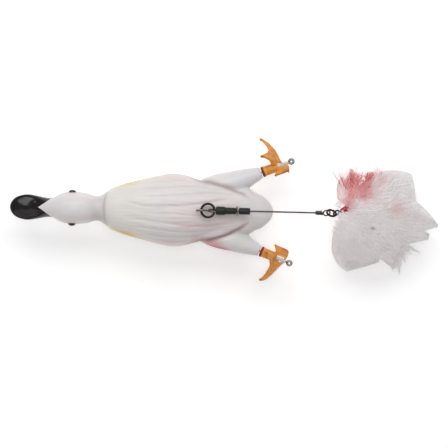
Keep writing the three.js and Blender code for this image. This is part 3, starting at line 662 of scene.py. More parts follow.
def plan_line(points):
    p = np.array([[a, b, 0.0] for a, b in points])
    return spline(p, 160)[:, :2]


GROOVE_LINES = [(plan_line(p), d, w) for p, d, w in GROOVES]
WING_LINES = [(plan_line(WING_R), 1), (plan_line(WING_L), -1)]


def line_offset(x, y, line):
    """Signed sideways distance from a line in plan (+ towards larger |y|), and how far along it, 0 to 1."""
    yl = np.interp(x, line[:, 0], line[:, 1])
    t = (x - line[0, 0]) / (line[-1, 0] - line[0, 0])
    return y - yl, t


def relief(p):
    x, y, z = p.T
    up = sstep(22.5, 26.5, z)
    out = np.zeros(len(p))
    for line, depth, width in GROOVE_LINES:
        d, t = line_offset(x, y, line)
        fade = sstep(0, 0.16, t) * sstep(1.0, 0.82, t)
        # A groove has one steeper side, like the edge of a feather lying over the next.
        steep = np.where(d * np.sign(line[:, 1].mean() + 1e-6) > 0, width * 0.8, width * 1.9)
        out -= depth * fade * up * gauss(d, steep)
    for line, side in WING_LINES:
        d, t = line_offset(x, y, line)
        d = d * side  # + is outside the wing
        fade = sstep(0.28, 0.5, t) * sstep(1.0, 0.86, t)
        upw = sstep(16.5, 21.0, z)
        out += fade * upw * (0.5 * gauss(np.minimum(d + 0.9, 0), 2.4) * (d < -0.9) + 0.5 * ((d >= -0.9) & (d < 0)) - 0.0)
        out -= fade * upw * 0.75 * gauss(np.maximum(d - 0.5, 0), 1.7) * sstep(-0.35, 0.55, d)
    # Fine lengthwise barbs, closer together towards neck and tail.
    v = y / np.sqrt(np.maximum(np.interp(x, _x, T_W), 4))
    lines = np.sin(2 * math.pi * (v * 8.5 + 0.28 * np.sin(x / 8.0) + 0.2 * np.sin(x / 3.7 + v * 9)))
    lines += 0.6 * np.sin(2 * math.pi * (v * 15.3 + 0.35 * np.sin(x / 6.1 + 1.0)))
    out += 0.075 * lines * sstep(-37, -28, x) * sstep(46, 34, x) * sstep(20, 25, z) * (0.45 + 0.55 * gauss(y + 6, 9))
    # The mantle starts with a soft step behind the neck.
    neck = -39.6 + 0.02 * y**2
    out += 0.5 * sstep(0, 1.1, x - neck) * sstep(13, 2, x - neck) * sstep(18, 23, z)
    # Nostrils and the ridge of the bill.
    for s in (1, -1):
        d2 = ((x + 75.2) / 1.15) ** 2 + ((y - s * 2.75) / 0.55) ** 2
        out -= 0.42 * np.exp(-d2) * (z > 22)
        d3 = ((x + 75.4) / 1.9) ** 2 + ((y - s * 2.7) / 1.15) ** 2
        out += 0.16 * np.exp(-d3) * (z > 22)
    ridge = sstep(-88, -82, x) * sstep(-69, -76, x) * (z > 21.5)
    out += ridge * (0.3 * gauss(y, 1.5) - 0.16 * gauss(np.abs(y) - 3.6, 1.2))
    rim = sstep(-89, -86, x) * sstep(-66, -72, x)
    out += rim * 0.16 * gauss(z - 21.0, 0.55)
    # Fine down on head and flanks is left to the lacquer's bump.
    return out


def paint(p):
    """Airbrush colour at each point."""
    x, y, z = p.T
    n = len(p)
    col = np.tile(np.array(srgb(237, 234, 233)), (n, 1))

    def lay(mask, rgb, strength):
        k = (np.clip(mask, 0, 1) * strength)[:, None]
        col[:] = col * (1 - k) + np.array(srgb(*rgb)) * k

    up = sstep(21, 26, z)
    lay(up * sstep(-16, 2, x) * sstep(36, 20, x) * gauss(y + 1, 10), (232, 214, 212), 0.55)  # rosy back
    lay(sstep(-40, -34, x) * sstep(-8, -22, x) * gauss(y, 11), (240, 238, 228), 0.6)  # cream mantle
    lay(up * gauss(x + 60, 9) * gauss(y, 7), (228, 226, 232), 0.45)  # cool forehead
    # Painted shade: the neck's valley greyed, and a painted shadow line along the step where the mantle starts.
    lay(gauss(x + 42.5, 3.6) * sstep(16, 22, z), (205, 200, 196), 0.55)  # grey neck
    lay(gauss(x - (-39.9 + 0.02 * y**2), 0.7) * sstep(16, 22, z), (178, 170, 166), 0.5)
    lay(gauss(x + 44, 4.5) * gauss(y + 5.5, 2.5) * sstep(14, 20, z), (214, 190, 184), 0.4)
    for s, k in ((-1, 1.0), (1, 0.55)):
        lay(gauss(x + 27.5 - (0 if s < 0 else 2), 7.5) * gauss(y - s * (12.2 + (x + 29) * 0.32), 1.9) * sstep(14, 20, z) * sstep(29.5, 25, z), (232, 202, 80), 1.0 * k)
        lay(gauss(x + 27.5, 6.0) * gauss(y - s * (13.6 + (x + 29) * 0.32), 1.4) * sstep(13, 19, z) * sstep(27, 22, z), (216, 172, 60), 0.55 * k)
        # Red along the flank and the outer edge of the leg.
        outer = s * y - (16.8 + (x - 6) * 0.17)
        if s < 0:
            lay(sstep(0, 9, x) * sstep(33, 22, x) * gauss(np.minimum(outer, 0), 1.1) * sstep(12, 16, z) * sstep(28, 22, z), (208, 46, 60), 1.0)
            lay(sstep(4, 10, x) * sstep(26, 18, x) * gauss(outer + 2.0, 2.2) * sstep(18, 21, z), (216, 128, 132), 0.5)
        lay(sstep(-24, -12, x) * sstep(14, 2, x) * sstep(14.5, 17.0, np.abs(y)) * sstep(15, 19, z), (232, 200, 194), 0.22 if s > 0 else 0.1)
    # Pink in the wing folds on the left, a trace of it on the right, and a painted grey shadow along each wing's edge.
    for (line, side), k in zip(WING_LINES, (0.35, 1.0)):
        d, t = line_offset(x, y, line)
        lay(up * gauss(d * side - 0.6, 1.0) * sstep(0.35, 0.55, t) * sstep(1, 0.9, t), (214, 118, 122), 0.5 * k)
        lay(up * gauss(d * side - 0.2, 1.3) * sstep(0.3, 0.5, t) * sstep(1, 0.8, t), (140, 124, 122), 0.6)
    # Grooves darkened with painted grey shade; the second groove carries real pink paint instead.
    for i, (line, depth, width) in enumerate(GROOVE_LINES):
        d, t = line_offset(x, y, line)
        m = up * gauss(d, width * 0.8) * sstep(0, 0.3, t) * sstep(1, 0.8, t)
        if i == 1:
            m = m * sstep(-8, 6, x)
        lay(m, (206, 120, 128) if i == 1 else (188, 182, 186), (0.55 if i == 1 else 0.6) * min(1, depth * 1.8))
    # Cooler legs.
    for side in (1, -1):
        o, a = LEGS[side]
        u = (p - o) @ a
        rho = np.linalg.norm((p - o) - u[:, None] * a, axis=1)
        lay(sstep(-20, -12, u) * (rho < 8), (226, 230, 236), 0.6)
    # Pink halo round the eyes.
    for s in (1, -1):
        d = np.sqrt((x + 56.6) ** 2 + (z - 24.6) ** 2)
        lay(gauss(d - 2.8, 1.5) * (s * y > 4), (224, 140, 138), 0.55)
    # A yellow-green hint at the tail's left side and the leg ends.
    lay(gauss(x - 33, 5) * gauss(y + 15, 4) * sstep(15, 20, z), (222, 222, 190), 0.3)
    return col


def body_seed():
    xs = np.concatenate([[-89.55, -89.3, -88.8], np.linspace(-88.2, 47.8, 150), [48.2, 48.6, 48.75]])
    rings = []
    m = 72
    a = np.linspace(0, 2 * np.pi, m, endpoint=False)
    for x in xs:
        w = math.sqrt(max(np.interp(x, _x, T_W), 0.01))
        zm = np.interp(x, _x, T_ZM)
        hu, hl = w / np.interp(x, _x, T_RU), w / np.interp(x, _x, T_RL)
        c, s = np.cos(a), np.sin(a)
        e = 2 / POWER
        rings.append(np.column_stack([np.full(m, x), w * np.sign(c) * np.abs(c) ** e, zm + np.where(s > 0, hu, hl) * np.sign(s) * np.abs(s) ** e]))
    v = np.vstack(rings)
    f = [(i * m + k, i * m + (k + 1) % m, (i + 1) * m + (k + 1) % m, (i + 1) * m + k) for i in range(len(xs) - 1) for k in range(m)]
    f += [tuple(range(m))[::-1], tuple((len(xs) - 1) * m + k for k in range(m))]
    parts = [(v, f)]
    for side in (1, -1):
        o, ax = LEGS[side]
        prof = [(u, r) for u, r in LEG_PROFILE if -38 < u <= 0][::-1]
        parts.append(move(lathe(prof, 40, closed=False), o, ax, (0, 1, 0)))
    return merge(*parts)


def build_shells():
    v, f = body_seed()
    me = bpy.data.meshes.new("seed")
    me.from_pydata(v.tolist(), [], f)
    o = bpy.data.objects.new("seed", me)
    bpy.context.scene.collection.objects.link(o)
    outward(o)
    mod = o.modifiers.new("remesh", "REMESH")
    mod.mode = "VOXEL"
    mod.voxel_size = 0.62
    mod.use_smooth_shade = True
    dg = bpy.context.evaluated_depsgraph_get()
    ev = o.evaluated_get(dg)
    m2 = bpy.data.meshes.new_from_object(ev)
    bpy.data.objects.remove(o)
    p = np.empty(len(m2.vertices) * 3)
    m2.vertices.foreach_get("co", p)
    p = p.reshape(-1, 3)
    h = 0.04
    for step in range(7):
        d = skin_distance(p)
        g = np.zeros_like(p)
        for k in range(3):
            e = np.zeros(3)
            e[k] = h
            g[:, k] = (skin_distance(p + e) - skin_distance(p - e)) / (2 * h)
        g /= np.maximum(np.linalg.norm(g, axis=1)[:, None], 0.2)
        p = p - g * np.clip(d, -0.5, 0.5)[:, None]
    p = p + g * relief(p)[:, None]
    p[:, 2] = np.maximum(p[:, 2], 0.0)  # the belly flat
    m2.vertices.foreach_set("co", p.ravel())
    m2.update()
    holes = []
    for name, keep, at, node in (("upper_shell_skin", 1, PART_Z + 0.04, "upper_shell"), ("lower_shell_skin", -1, PART_Z - 0.04, "lower_shell")):
        bm = bmesh.new()
        bm.from_mesh(m2)
        geom = bm.verts[:] + bm.edges[:] + bm.faces[:]
        bmesh.ops.bisect_plane(bm, geom=geom, plane_co=(0, 0, at), plane_no=(0, 0, 1), clear_outer=keep < 0, clear_inner=keep > 0, dist=1e-5)
        me = bpy.data.meshes.new(name)
        bm.normal_update()
        bm.to_mesh(me)
        bm.free()
        q = np.empty(len(me.vertices) * 3)
        me.vertices.foreach_get("co", q)
        q = q.reshape(-1, 3)
        # The skin rolls in a little at the seam, so that the two halves meet in a fine line.
        near = gauss(q[:, 2] - at, 0.22)
        q[:, 1] -= np.sign(q[:, 1]) * 0.07 * near
        o = bpy.data.objects.new(name, me)
        bpy.context.scene.collection.objects.link(o)
        me.vertices.foreach_set("co", (q * MM).ravel())
        a = me.attributes.new("paint", "FLOAT_COLOR", "POINT")
        rgba = np.ones((len(q), 4), np.float32)
        rgba[:, :3] = paint(q)
        a.data.foreach_set("color", rgba.ravel())
        me.materials.append(SHELL)
        me.materials.append(INSIDE)
        me.polygons.foreach_set("use_smooth", [True] * len(me.polygons))
        me.update()
        s = o.modifiers.new("wall", "SOLIDIFY")
        s.thickness = 1.1 * MM
        s.offset = -1
        s.use_rim = True
        s.material_offset = 1
        s.material_offset_rim = 0
        dg = bpy.context.evaluated_depsgraph_get()
        done = bpy.data.meshes.new_from_object(o.evaluated_get(dg))
        o.modifiers.clear()
        o.data = done
        finish_piece(o, "duck", (node,))
    return p


build_shells()

# ------------------------------------------------------------------ eyes
for name, side in (("right_eye", 1), ("left_eye", -1)):
    lo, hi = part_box(name)
    cx, cz = (lo.x + hi.x) / 2 / MM, (lo.z + hi.z) / 2 / MM
    back, front = (lo.y / MM, hi.y / MM) if side > 0 else (-hi.y / MM, -lo.y / MM)
    r = (hi.x - lo.x) / 2 / MM
    h = front - back
    prof = [(0, r * 0.92), (0.12, r * 0.99), (0.3, r)]
    for k in range(1, 15):
        a = k / 14.5 * math.pi / 2
        prof.append((0.3 + (h - 0.3) * math.sin(a), r * math.cos(a) ** 0.9))
    dome = lathe(prof, 56, closed=False)
    # A thin raised lid round the dome is laid out here, but only the dome goes into the eye's mesh.
    lid = lathe([(0.32 + 0.5 * (h - 0.3) + 0.16 * math.cos(a), r * 0.93 + 0.16 * math.sin(a)) for a in np.linspace(0, 2 * np.pi, 10, endpoint=False)], 56)
    v, f = move(merge(dome), (cx, side * back, cz), (0, side, 0), (1, 0, 0))
    o = make(name + "_dome", v, f, "duck", EYE, (name,))
    outward(o)

# ------------------------------------------------------------------ screw eyes and back eyes
def ring_path(major, count=72, start=0.0, sweep_deg=360.0):
    a = np.radians(start) + np.radians(np.linspace(0, sweep_deg, count, endpoint=sweep_deg < 359.9))
    return np.column_stack([major * np.cos(a), major * np.sin(a), np.zeros(len(a))])


# Line eye: a wire eye with its tag bent back against the threaded shank.
chest = unit((-0.64, 0, -0.77))
eye_pts = [(-8.6, 0, 0), (-4, 0, 0), (0.6, 0, 0), (1.6, 0, 0.1)]
for k in range(19):
    a = math.radians(196 + k * 18.2)
    eye_pts.append((4.6 + 2.3 * math.cos(a), 0.1 * (k / 18 - 0.5) * 4, 2.3 * math.sin(a)))
eye_v = sweep(spline(eye_pts, 120), 0.64, 16)
thread = []
for k in range(150):
    a = k / 149 * 2 * math.pi * 11
    thread.append((-8.2 + 8.2 * k / 149, 0.62 * math.cos(a), 0.62 * math.sin(a)))
thread_v = sweep(np.array(thread), 0.16, 6)
v, f = move(merge(eye_v, thread_v), (-37.6, 0, 10.2), chest, (0, 1, 0))
outward(make("line_eye_wire", v, f, "duck", WIRE, ("line_tie_eye",)))

# Back eye: a wire staple.
lo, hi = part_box("back_eye")
bx, by, top = (lo.x + hi.x) / 2 / MM, (lo.y + hi.y) / 2 / MM, hi.z / MM
half = (hi.x - lo.x) / 2 / MM - 0.5
pts = [(bx - half, by, 27.2), (bx - half, by, 31.5)]
for k in range(13):
    a = math.pi * (1 - k / 12)
    pts.append((bx + half * math.cos(a), by + 0.05 * math.sin(2 * a), 36.8 + (top - 0.5 - 36.8) * math.sin(a)))
pts += [(bx + half, by, 31.5), (bx + half, by, 27.2)]
v, f = sweep(spline(pts, 90), 0.5, 18)
outward(make("back_eye_wire", v, f, "duck", WIRE, ("back_eye",)))

# ------------------------------------------------------------------ trace frame
TILT = math.radians(7)
T_AX = np.array([math.cos(TILT), 0, -math.sin(TILT)])
T_UP = np.array([math.sin(TILT), 0, math.cos(TILT)])
T_O = np.array([14.6, 0, 36.6])


def on_trace(part):
    v = np.asarray(part[0], float)
    return T_O + v[:, :1] * T_AX + v[:, 1:2] * np.array([0, 1, 0]) + v[:, 2:3] * T_UP, part[1]


# Keeper eye round the trace, wrapped at its foot.
ks, kmaj, kr = 15.3, 2.3, 0.35
kx = T_O[0] + ks * math.cos(TILT)
kz = T_O[2] - math.tan(TILT) * (kx - T_O[0])
pts = [(0, 0, 27.4 - kz), (0, 0, 30.5 - kz), (0, 0.02, -kmaj - 0.75)]
for k in range(25):
    a = math.radians(-84 + k * 14.6)
    pts.append((0.12 * (k / 24 - 0.5), kmaj * math.cos(a), kmaj * math.sin(a)))
pts.append((0.3, -0.35, -kmaj - 0.28))
P = spline(pts, 150)
P[:, 0] += P[:, 2] * math.tan(TILT) * (np.abs(P[:, 2]) < 2.6)
v1 = sweep(P + np.array([kx, 0, kz]), kr, 14)
coil = []
for k in range(70):
    a = k / 69 * 2 * math.pi * 3
    coil.append((0.55 * math.cos(a), 0.55 * math.sin(a), -kmaj - 0.55 - 1.3 * k / 69))
v2 = sweep(np.array(coil) + np.array([kx, 0, kz]), 0.24, 10)
v, f = merge(v1, v2)
outward(make("keeper_wire", v, f, "duck", WIRE, ("keeper_eye",)))


# ------------------------------------------------------------------ split rings
def split_ring(major, minor, name, origin, m, body, node, turn=0.0):
    """Two flat turns of wire side by side, with the step where one runs into the other."""
    n = 260
    th = np.linspace(math.radians(11), 4 * math.pi - math.radians(11), n)
    cross = sstep(2 * math.pi - math.radians(11), 2 * math.pi + math.radians(11), th)
    ax = (cross - 0.5) * 2 * (minor * 0.5)
    rad = major + 0.03 * minor * np.sin(th * 3)
    p = np.column_stack([rad * np.cos(th + turn), rad * np.sin(th + turn), ax])
    a = np.linspace(0, 2 * np.pi, 14, endpoint=False)
    sec = np.column_stack([0.46 * np.sign(np.cos(a)) * np.abs(np.cos(a)) ** 0.7, 1.0 * np.sign(np.sin(a)) * np.abs(np.sin(a)) ** 0.7])
    v, f = sweep(p, minor, section=sec, start=(0, 0, 1))
    v = v @ np.asarray(m, float).T + np.asarray(origin, float)
    o = make(name, v, f, body, RING, (node,))
    return outward(o)


M_trace = np.column_stack([T_AX, [0, 1, 0], T_UP])
split_ring(3.475, 0.6, "front_ring_turns", T_O, M_trace, "front_ring", "front_split_ring", math.radians(150))

q = np.array([0.94, 0, -0.342])
q = unit(q)
link = T_O + (62.4 + 0.3) * T_AX
yax = np.array([0, 1.0, 0])
zax = np.cross(q, yax)
lean = math.radians(-48)
M_hr = np.column_stack([q, yax * math.cos(lean) + zax * math.sin(lean), -yax * math.sin(lean) + zax * math.cos(lean)])
split_ring(2.4, 0.48, "hook_ring_turns", link + 2.4 * q, M_hr, "hook_ring", "hook_split_ring", math.radians(70))

# ------------------------------------------------------------------ trace wire, crimp, tubes
lean25 = math.radians(25)
loop = [[8.4, -.42], [6.0, -.42], [5.2, -.7], [4.4, -1.2], [3.2, -1.38], [1.9, -1.3], [.75, -.85], [.3, 0], [.75, .85], [1.9, 1.3], [3.2, 1.38], [4.4, 1.2], [5.2, .7], [6.0, .42], [8.4, .42], [10.2, .1], [11.5, 0]]
pts = [(x, -h * math.sin(lean25), h * math.cos(lean25)) for x, h in loop] + [(20, 0, 0), (30, 0.03, 0), (42, 0, 0), (52, -0.03, 0), (58.6, 0, 0), (60.3, 0.0, 0.0)]
main = spline(pts, 320)
rear = []
for k in range(27):
    a = math.radians(180 - k * 13.4)
    x, y = 62.4 + 1.75 * math.cos(a), 1.75 * math.sin(a)
    rear.append((x, y * math.cos(math.radians(40)), y * math.sin(math.radians(40))))
rear_pts = [(60.2, -0.1, -0.1)] + rear[1:]
wraps = []
for k in range(110):
    a = k / 109 * 2 * math.pi * 4.0
    wraps.append((60.1 - 3.5 * k / 109, 0.84 * math.cos(a + 2.4), 0.84 * math.sin(a + 2.4)))
tag = spline(rear_pts, 90)
wire_v = merge(sweep(main, 0.43, 14), sweep(tag, 0.385, 14), sweep(np.array(wraps), 0.42, 12))
v, f = on_trace(wire_v)
outward(make("trace_strand", v, f, "trace", TRACE, ("trace_wire",)))

prof = [(5.7, 1.14), (5.7, 1.42), (5.82, 1.5), (6.6, 1.5), (6.9, 1.36), (7.3, 1.36), (7.6, 1.5), (8.58, 1.5), (8.7, 1.42), (8.7, 1.14)]
v, f = on_trace(lathe(prof, 40))
outward(make("crimp_band", v, f, "trace", RING, ("crimp_sleeve",)))


def rounded(profile, r=0.14, steps=3):
    """Rounds the corners of a closed (along, radius) profile."""
    p = np.asarray(profile, float)
    out = []
    for i in range(len(p)):
        a, b, c = p[i - 1], p[i], p[(i + 1) % len(p)]
        la, lc = np.linalg.norm(a - b), np.linalg.norm(c - b)
        k = min(r, la * 0.45, lc * 0.45)
        s, e = b + (a - b) / la * k, b + (c - b) / lc * k
        for t in np.linspace(0, 1, steps + 1):
            out.append((1 - t) ** 2 * s + 2 * t * (1 - t) * b + t * t * e)
    return out


ft = rounded([(4.4, 1.82), (4.4, 2.12), (4.75, 2.22), (8.4, 2.2), (9.35, 1.74), (14.6, 1.68), (14.6, 0.66), (9.6, 0.7), (9.1, 1.3), (9.0, 1.82)], 0.16)
v, f = lathe(ft, 56)
v[:, 1:] *= (1 + 0.012 * np.sin(v[:, :1] * 2.1 + 0.4))
v, f = on_trace((v, f))
outward(make("front_tube_sleeve", v, f, "trace", RUBBER, ("front_tube",)))
rt = rounded([(16.3, 0.66), (16.3, 1.58), (16.5, 1.74), (21.75, 1.75), (22.0, 1.6), (22.0, 0.66)], 0.16)
v, f = lathe(rt, 56)
v[:, 1:] *= (1 + 0.012 * np.sin(v[:, :1] * 1.7))
v, f = on_trace((v, f))
outward(make("rear_tube_sleeve", v, f, "trace", RUBBER, ("rear_tube",)))

# ------------------------------------------------------------------ feet
TOES = [(-218, 5.6, 14.0, 13.4), (-112, 4.9, 14.4, 13.9), (0, 17.0, 10.6, 5.8), (57, 11.6, 7.6, 2.8)]
RIDGED = (2, 3)
PADDLE_PHI = -218
PADDLE = [(8.6, 2.2), (7.6, 3.9), (5.9, 5.9), (6.3, 6.5), (8.2, 6.2), (11, 6.3), (13.6, 6.2), (14.5, 5.4), (14.9, 3.4), (14.7, 1.5), (9, 1.5)]
VALLEYS = [1.0, 0.92, 0.72]
COLLAR_R = 2.95


def curl(root, end, tip, r):
    t = np.clip((np.asarray(r, float) - COLLAR_R) / (tip - COLLAR_R), 0, 1.15)
    return root + (end - root) * t**2.6


def foot_parts(side):
    """Web, toe ridges and collar, in the leg's own frame before the foot's turn."""
    at = lambda phi, r, u: (u, side * r * math.cos(math.radians(phi)), r * math.sin(math.radians(phi)))
    parts = []
    cols = []
    for i in range(3):
        a, b = TOES[i], TOES[i + 1]
        steps = (36, 40, 24)[i]
        for k in range(0 if i == 0 else 1, steps + 1):
            t = k / steps
            dip = 1 - (1 - VALLEYS[i]) * math.sin(math.pi * t) ** 1.2
            # A fine scallop along the web's edge.
            dip *= 1 + 0.008 * math.sin(t * 21 + i)
            mixv = [a[j] + (b[j] - a[j]) * t for j in range(4)]
            sag = (0.1, 0.5, 0.5)[i] * math.sin(math.pi * t)
            cols.append((mixv[0], mixv[1] * dip * 0.985, mixv[1], mixv[2], mixv[3], sag))
    rows = 26
    v, f = [], []
    for phi, tip, full, root, end, sag in cols:
        for r in range(rows + 1):
            t = r / rows
            radius = 1.4 + (tip - 1.4) * t
            u = float(curl(root, end, full, radius)) - sag * math.sin(math.pi * min(1, t * 1.0)) ** 0.8
            thin = (1 - 0.42 * t) * 0.5
            v.append(at(phi, radius, u - thin))
            v.append(at(phi, radius, u + thin))
    idx = lambda c, r, s: (c * (rows + 1) + r) * 2 + s
    last = len(cols) - 1
    for c in range(last):
        for r in range(rows):
            f.append((idx(c, r, 0), idx(c, r + 1, 0), idx(c + 1, r + 1, 0), idx(c + 1, r, 0)))
            f.append((idx(c, r, 1), idx(c + 1, r, 1), idx(c + 1, r + 1, 1), idx(c, r + 1, 1)))
        f.append((idx(c, 0, 0), idx(c + 1, 0, 0), idx(c + 1, 0, 1), idx(c, 0, 1)))
        f.append((idx(c, rows, 0), idx(c, rows, 1), idx(c + 1, rows, 1), idx(c + 1, rows, 0)))
    for r in range(rows):
        f.append((idx(0, r, 0), idx(0, r, 1), idx(0, r + 1, 1), idx(0, r + 1, 0)))
        f.append((idx(last, r, 0), idx(last, r + 1, 0), idx(last, r + 1, 1), idx(last, r, 1)))
    parts.append((np.array(v), f))
    for phi, tip, root, end in (TOES[i] for i in RIDGED):
        rr = np.linspace(2.2, tip, 40)
        uu = curl(root, end, tip, rr)
        pts = np.array([at(phi, r, u) for r, u in zip(rr, uu)])
        t = np.linspace(0, 1, 40)
        # Toe joints: two soft knuckles and a nail.
        rad = 1.32 - 0.66 * t + 0.12 * np.exp(-(((t - 0.42) / 0.06) ** 2)) + 0.14 * np.exp(-(((t - 0.72) / 0.05) ** 2)) + 0.06 * np.exp(-(((t - 0.95) / 0.05) ** 2))
        parts.append(sweep(pts, rad, 14))
    # The small paddle opposite the web, thicker along its outer edge.
    ring = np.array(rounded(PADDLE, 0.8, 5))
    c, sn = math.cos(math.radians(PADDLE_PHI)), math.sin(math.radians(PADDLE_PHI))
    radial, flat = np.array([0, side * c, sn]), np.array([0, -sn, side * c])
    thick = 0.42 + 0.2 * sstep(4.5, 6.2, ring[:, 1])
    mid = np.column_stack([ring[:, 0], np.zeros(len(ring)), np.zeros(len(ring))]) + ring[:, 1:2] * radial
    pv = np.vstack([mid - thick[:, None] * flat, mid + thick[:, None] * flat])
    m_ = len(ring)
    pf = [tuple(range(m_)), tuple(range(2 * m_ - 1, m_ - 1, -1))] + [(k, k + m_, (k + 1) % m_ + m_, (k + 1) % m_) for k in range(m_)]
    parts.append((pv, pf))
    for r0 in (3.2, 4.6):
        parts.append(sweep(np.array([[9.0 + (r0 - 3) * 0.1, 0, 0] + r0 * radial, [11.5, 0, 0] + (r0 + 0.15) * radial, [14.2, 0, 0] + (r0 + 0.1) * radial]), 0.62, 10))
    collar = [(0.5, 0.4), (0.5, 2.35), (0.75, 2.72), (1.2, 2.95), (2.0, 2.72), (2.8, 2.6), (6.0, 2.55), (8.2, 2.7), (9.1, 2.6), (9.5, 2.2), (9.5, 0.4)]
    parts.append(lathe(rounded(collar, 0.3), 56))
    return parts


def join_voxel(parts, voxel, smooth_steps=4, factor=0.5):
    """One skin over overlapping closed pieces."""
    v, f = merge(*parts)
    me = bpy.data.meshes.new("tmp")
    me.from_pydata(v.tolist(), [], f)
    o = bpy.data.objects.new("tmp", me)
    bpy.context.scene.collection.objects.link(o)
    outward(o)
    mod = o.modifiers.new("r", "REMESH")
    mod.mode = "VOXEL"
    mod.voxel_size = voxel
    sm = o.modifiers.new("s", "SMOOTH")
    sm.iterations = smooth_steps
    sm.factor = factor
    dg = bpy.context.evaluated_depsgraph_get()
    done = bpy.data.meshes.new_from_object(o.evaluated_get(dg))
    bpy.data.objects.remove(o)
    p = np.empty(len(done.vertices) * 3)
    done.vertices.foreach_get("co", p)
    faces = [tuple(q.vertices) for q in done.polygons]
    bpy.data.meshes.remove(done)
    return p.reshape(-1, 3), faces


FOOT_TURN = {1: -10, -1: 35}
for name, side, key in (("right", 1, "right_foot_spin"), ("left", -1, "left_foot_spin")):
    o0, ax = LEGS[side]
    v, f = join_voxel(foot_parts(side), 0.26, 3, 0.5)
    # How far along and round the foot each point is, for painted shade: darker web away from the toe ridges, most on
    # the back, a dark band where the web meets the collar, dark toe tips, and a dark red-brown collar rim.
    u, yy, zz = v[:, 0], v[:, 1] * side, v[:, 2]
    rr = np.hypot(yy, zz)
    phi = np.degrees(np.arctan2(zz, yy))
    ridge = np.zeros(len(v))
    tips = np.zeros(len(v))
    for tphi, tip, root, end in (TOES[i] for i in RIDGED):
        d = (phi - tphi + 180) % 360 - 180
        off = rr * np.radians(np.abs(d))
        ridge = np.maximum(ridge, gauss(off, 1.0) * (rr > 2.6))
        tips = np.maximum(tips, sstep(tip * 0.9, tip * 1.0, rr) * (off < 2))
    # Painted shade round the collar's front rim.
    rim = np.clip(sstep(2.0, 1.5, u) * (rr > 1.6), 0, 1)
    web = sstep(3.2, 5.5, rr) * (1 - ridge)
    shade = np.clip(0.5 * web * (u > 10.4) + 0.42 * web * (0.6 + 0.4 * np.sin(rr * 2.2)) + 0.5 * gauss(rr - 3.1, 0.6) * (u > 3) + 0.8 * tips, 0, 1)
    # The foot's turn about the leg, then into the leg's place.
    a = math.radians(side * FOOT_TURN[side])
    v[:, 1], v[:, 2] = v[:, 1] * math.cos(a) - v[:, 2] * math.sin(a), v[:, 1] * math.sin(a) + v[:, 2] * math.cos(a)
    m = np.column_stack([ax, [-ax[1], ax[0], 0], [0, 0, 1]])
    vw = v @ m.T + o0
    ob = make(name + "_paddle", vw, f, name + "_foot", FOOT, (name + "_foot",), attrs={"rim": rim, "shade": shade})
    outward(ob)
    # Clear bearing tube with its bore.
    tube = lathe(rounded([(0.5, 0.66), (0.5, 1.0), (14.9, 1.0), (14.9, 0.66)], 0.08), 40)
    vt = tube[0] @ m.T + o0
    outward(make(name + "_bearing", vt, tube[1], name + "_foot", CLEAR, (name + "_foot_tube",)))
    # Axle wire ending in a bent eye.
    pts = [(-17.5, side * 3.4, 0), (-17.5, side * 1.2, 0), (-16.9, side * 0.3, 0), (-16, 0, 0), (-6, 0, 0), (6, 0, 0), (14.6, 0, 0), (15.5, 0.0, 0)]
    straight = sweep(spline(pts, 90), 0.5, 16)
    arc = []
    for k in range(22):
        t = math.radians(180 + k * 16.2)
        arc.append((17.0 + 1.15 * math.cos(t), side * 1.15 * math.sin(t), 0.16 * k / 21))
    eye = sweep(spline(arc, 80), 0.62, 16)
    va, fa = merge(straight, eye)
    outward(make(name + "_axle", va @ m.T + o0, fa, "duck", WIRE, (name + "_axle_wire",)))

# ------------------------------------------------------------------ treble hook
HP, HY = math.radians(27), math.radians(9)
cy, sy, cp, sp = math.cos(HY), math.sin(HY), math.cos(HP), math.sin(HP)
Rz = np.array([[cy, -sy, 0], [sy, cy, 0], [0, 0, 1]])
Ry = np.array([[cp, 0, sp], [0, 1, 0], [-sp, 0, cp]])
M_hook = Rz @ Ry
O_hook = np.array([81.7, 0.1, 27.15])


def on_hook(part):
    return np.asarray(part[0]) @ M_hook.T + O_hook, part[1]


parts = []
eye_pts = [(24, 0.0, -0.62), (12, 0, -0.5), (3.2, 0, -0.45), (1.9, 0.0, -0.3)]
for k in range(23):
    a = math.radians(10 + k * 15.4)
    x, y = 1.62 * math.cos(a), 1.62 * math.sin(a)
    eye_pts.append((x, y * math.cos(math.radians(42)), y * math.sin(math.radians(42)) + 0.0))
parts.append(sweep(spline(eye_pts[2:], 110), 0.47, 14))
parts.append(sweep(spline([(1.8, 0, 0), (10, 0, 0), (20, 0, 0), (29, 0, 0)], 40), 0.74, 18))
for ang in (20, 140, 260):
    a = math.radians(ang)
    side_v = np.array([0, math.cos(a), math.sin(a)])
    path = [(24, .2), (28, .6), (31.4, 1.9), (33.6, 4.2), (34.0, 6.6), (32.8, 9.0), (30, 10.5), (26, 10.9), (21, 10.8), (15.5, 10.4)]
    pts = np.array([np.array([s, 0, 0]) + r * side_v for s, r in path])
    c = spline(pts, 90)
    rad = np.full(len(c), 0.6)
    n_tip = 17
    rad[-n_tip:] = np.linspace(0.6, 0.08, n_tip) ** 1.0
    parts.append(sweep(c, rad, 14))
    # The barb stands off the inside of the point.
    b0 = c[-15]
    inward = -side_v
    barb = np.array([b0 + np.array([-0.5, 0, 0]) + inward * 0.25, b0 + np.array([0.7, 0, 0]) + inward * 0.62, b0 + np.array([1.7, 0, 0]) + inward * 1.05])
    parts.append(sweep(resample(barb, 8), np.linspace(0.3, 0.05, 8), 8))
v, f = on_hook(merge(*parts))
outward(make("treble_wire", v, f, "hook", HOOK, ("treble_hook",)))

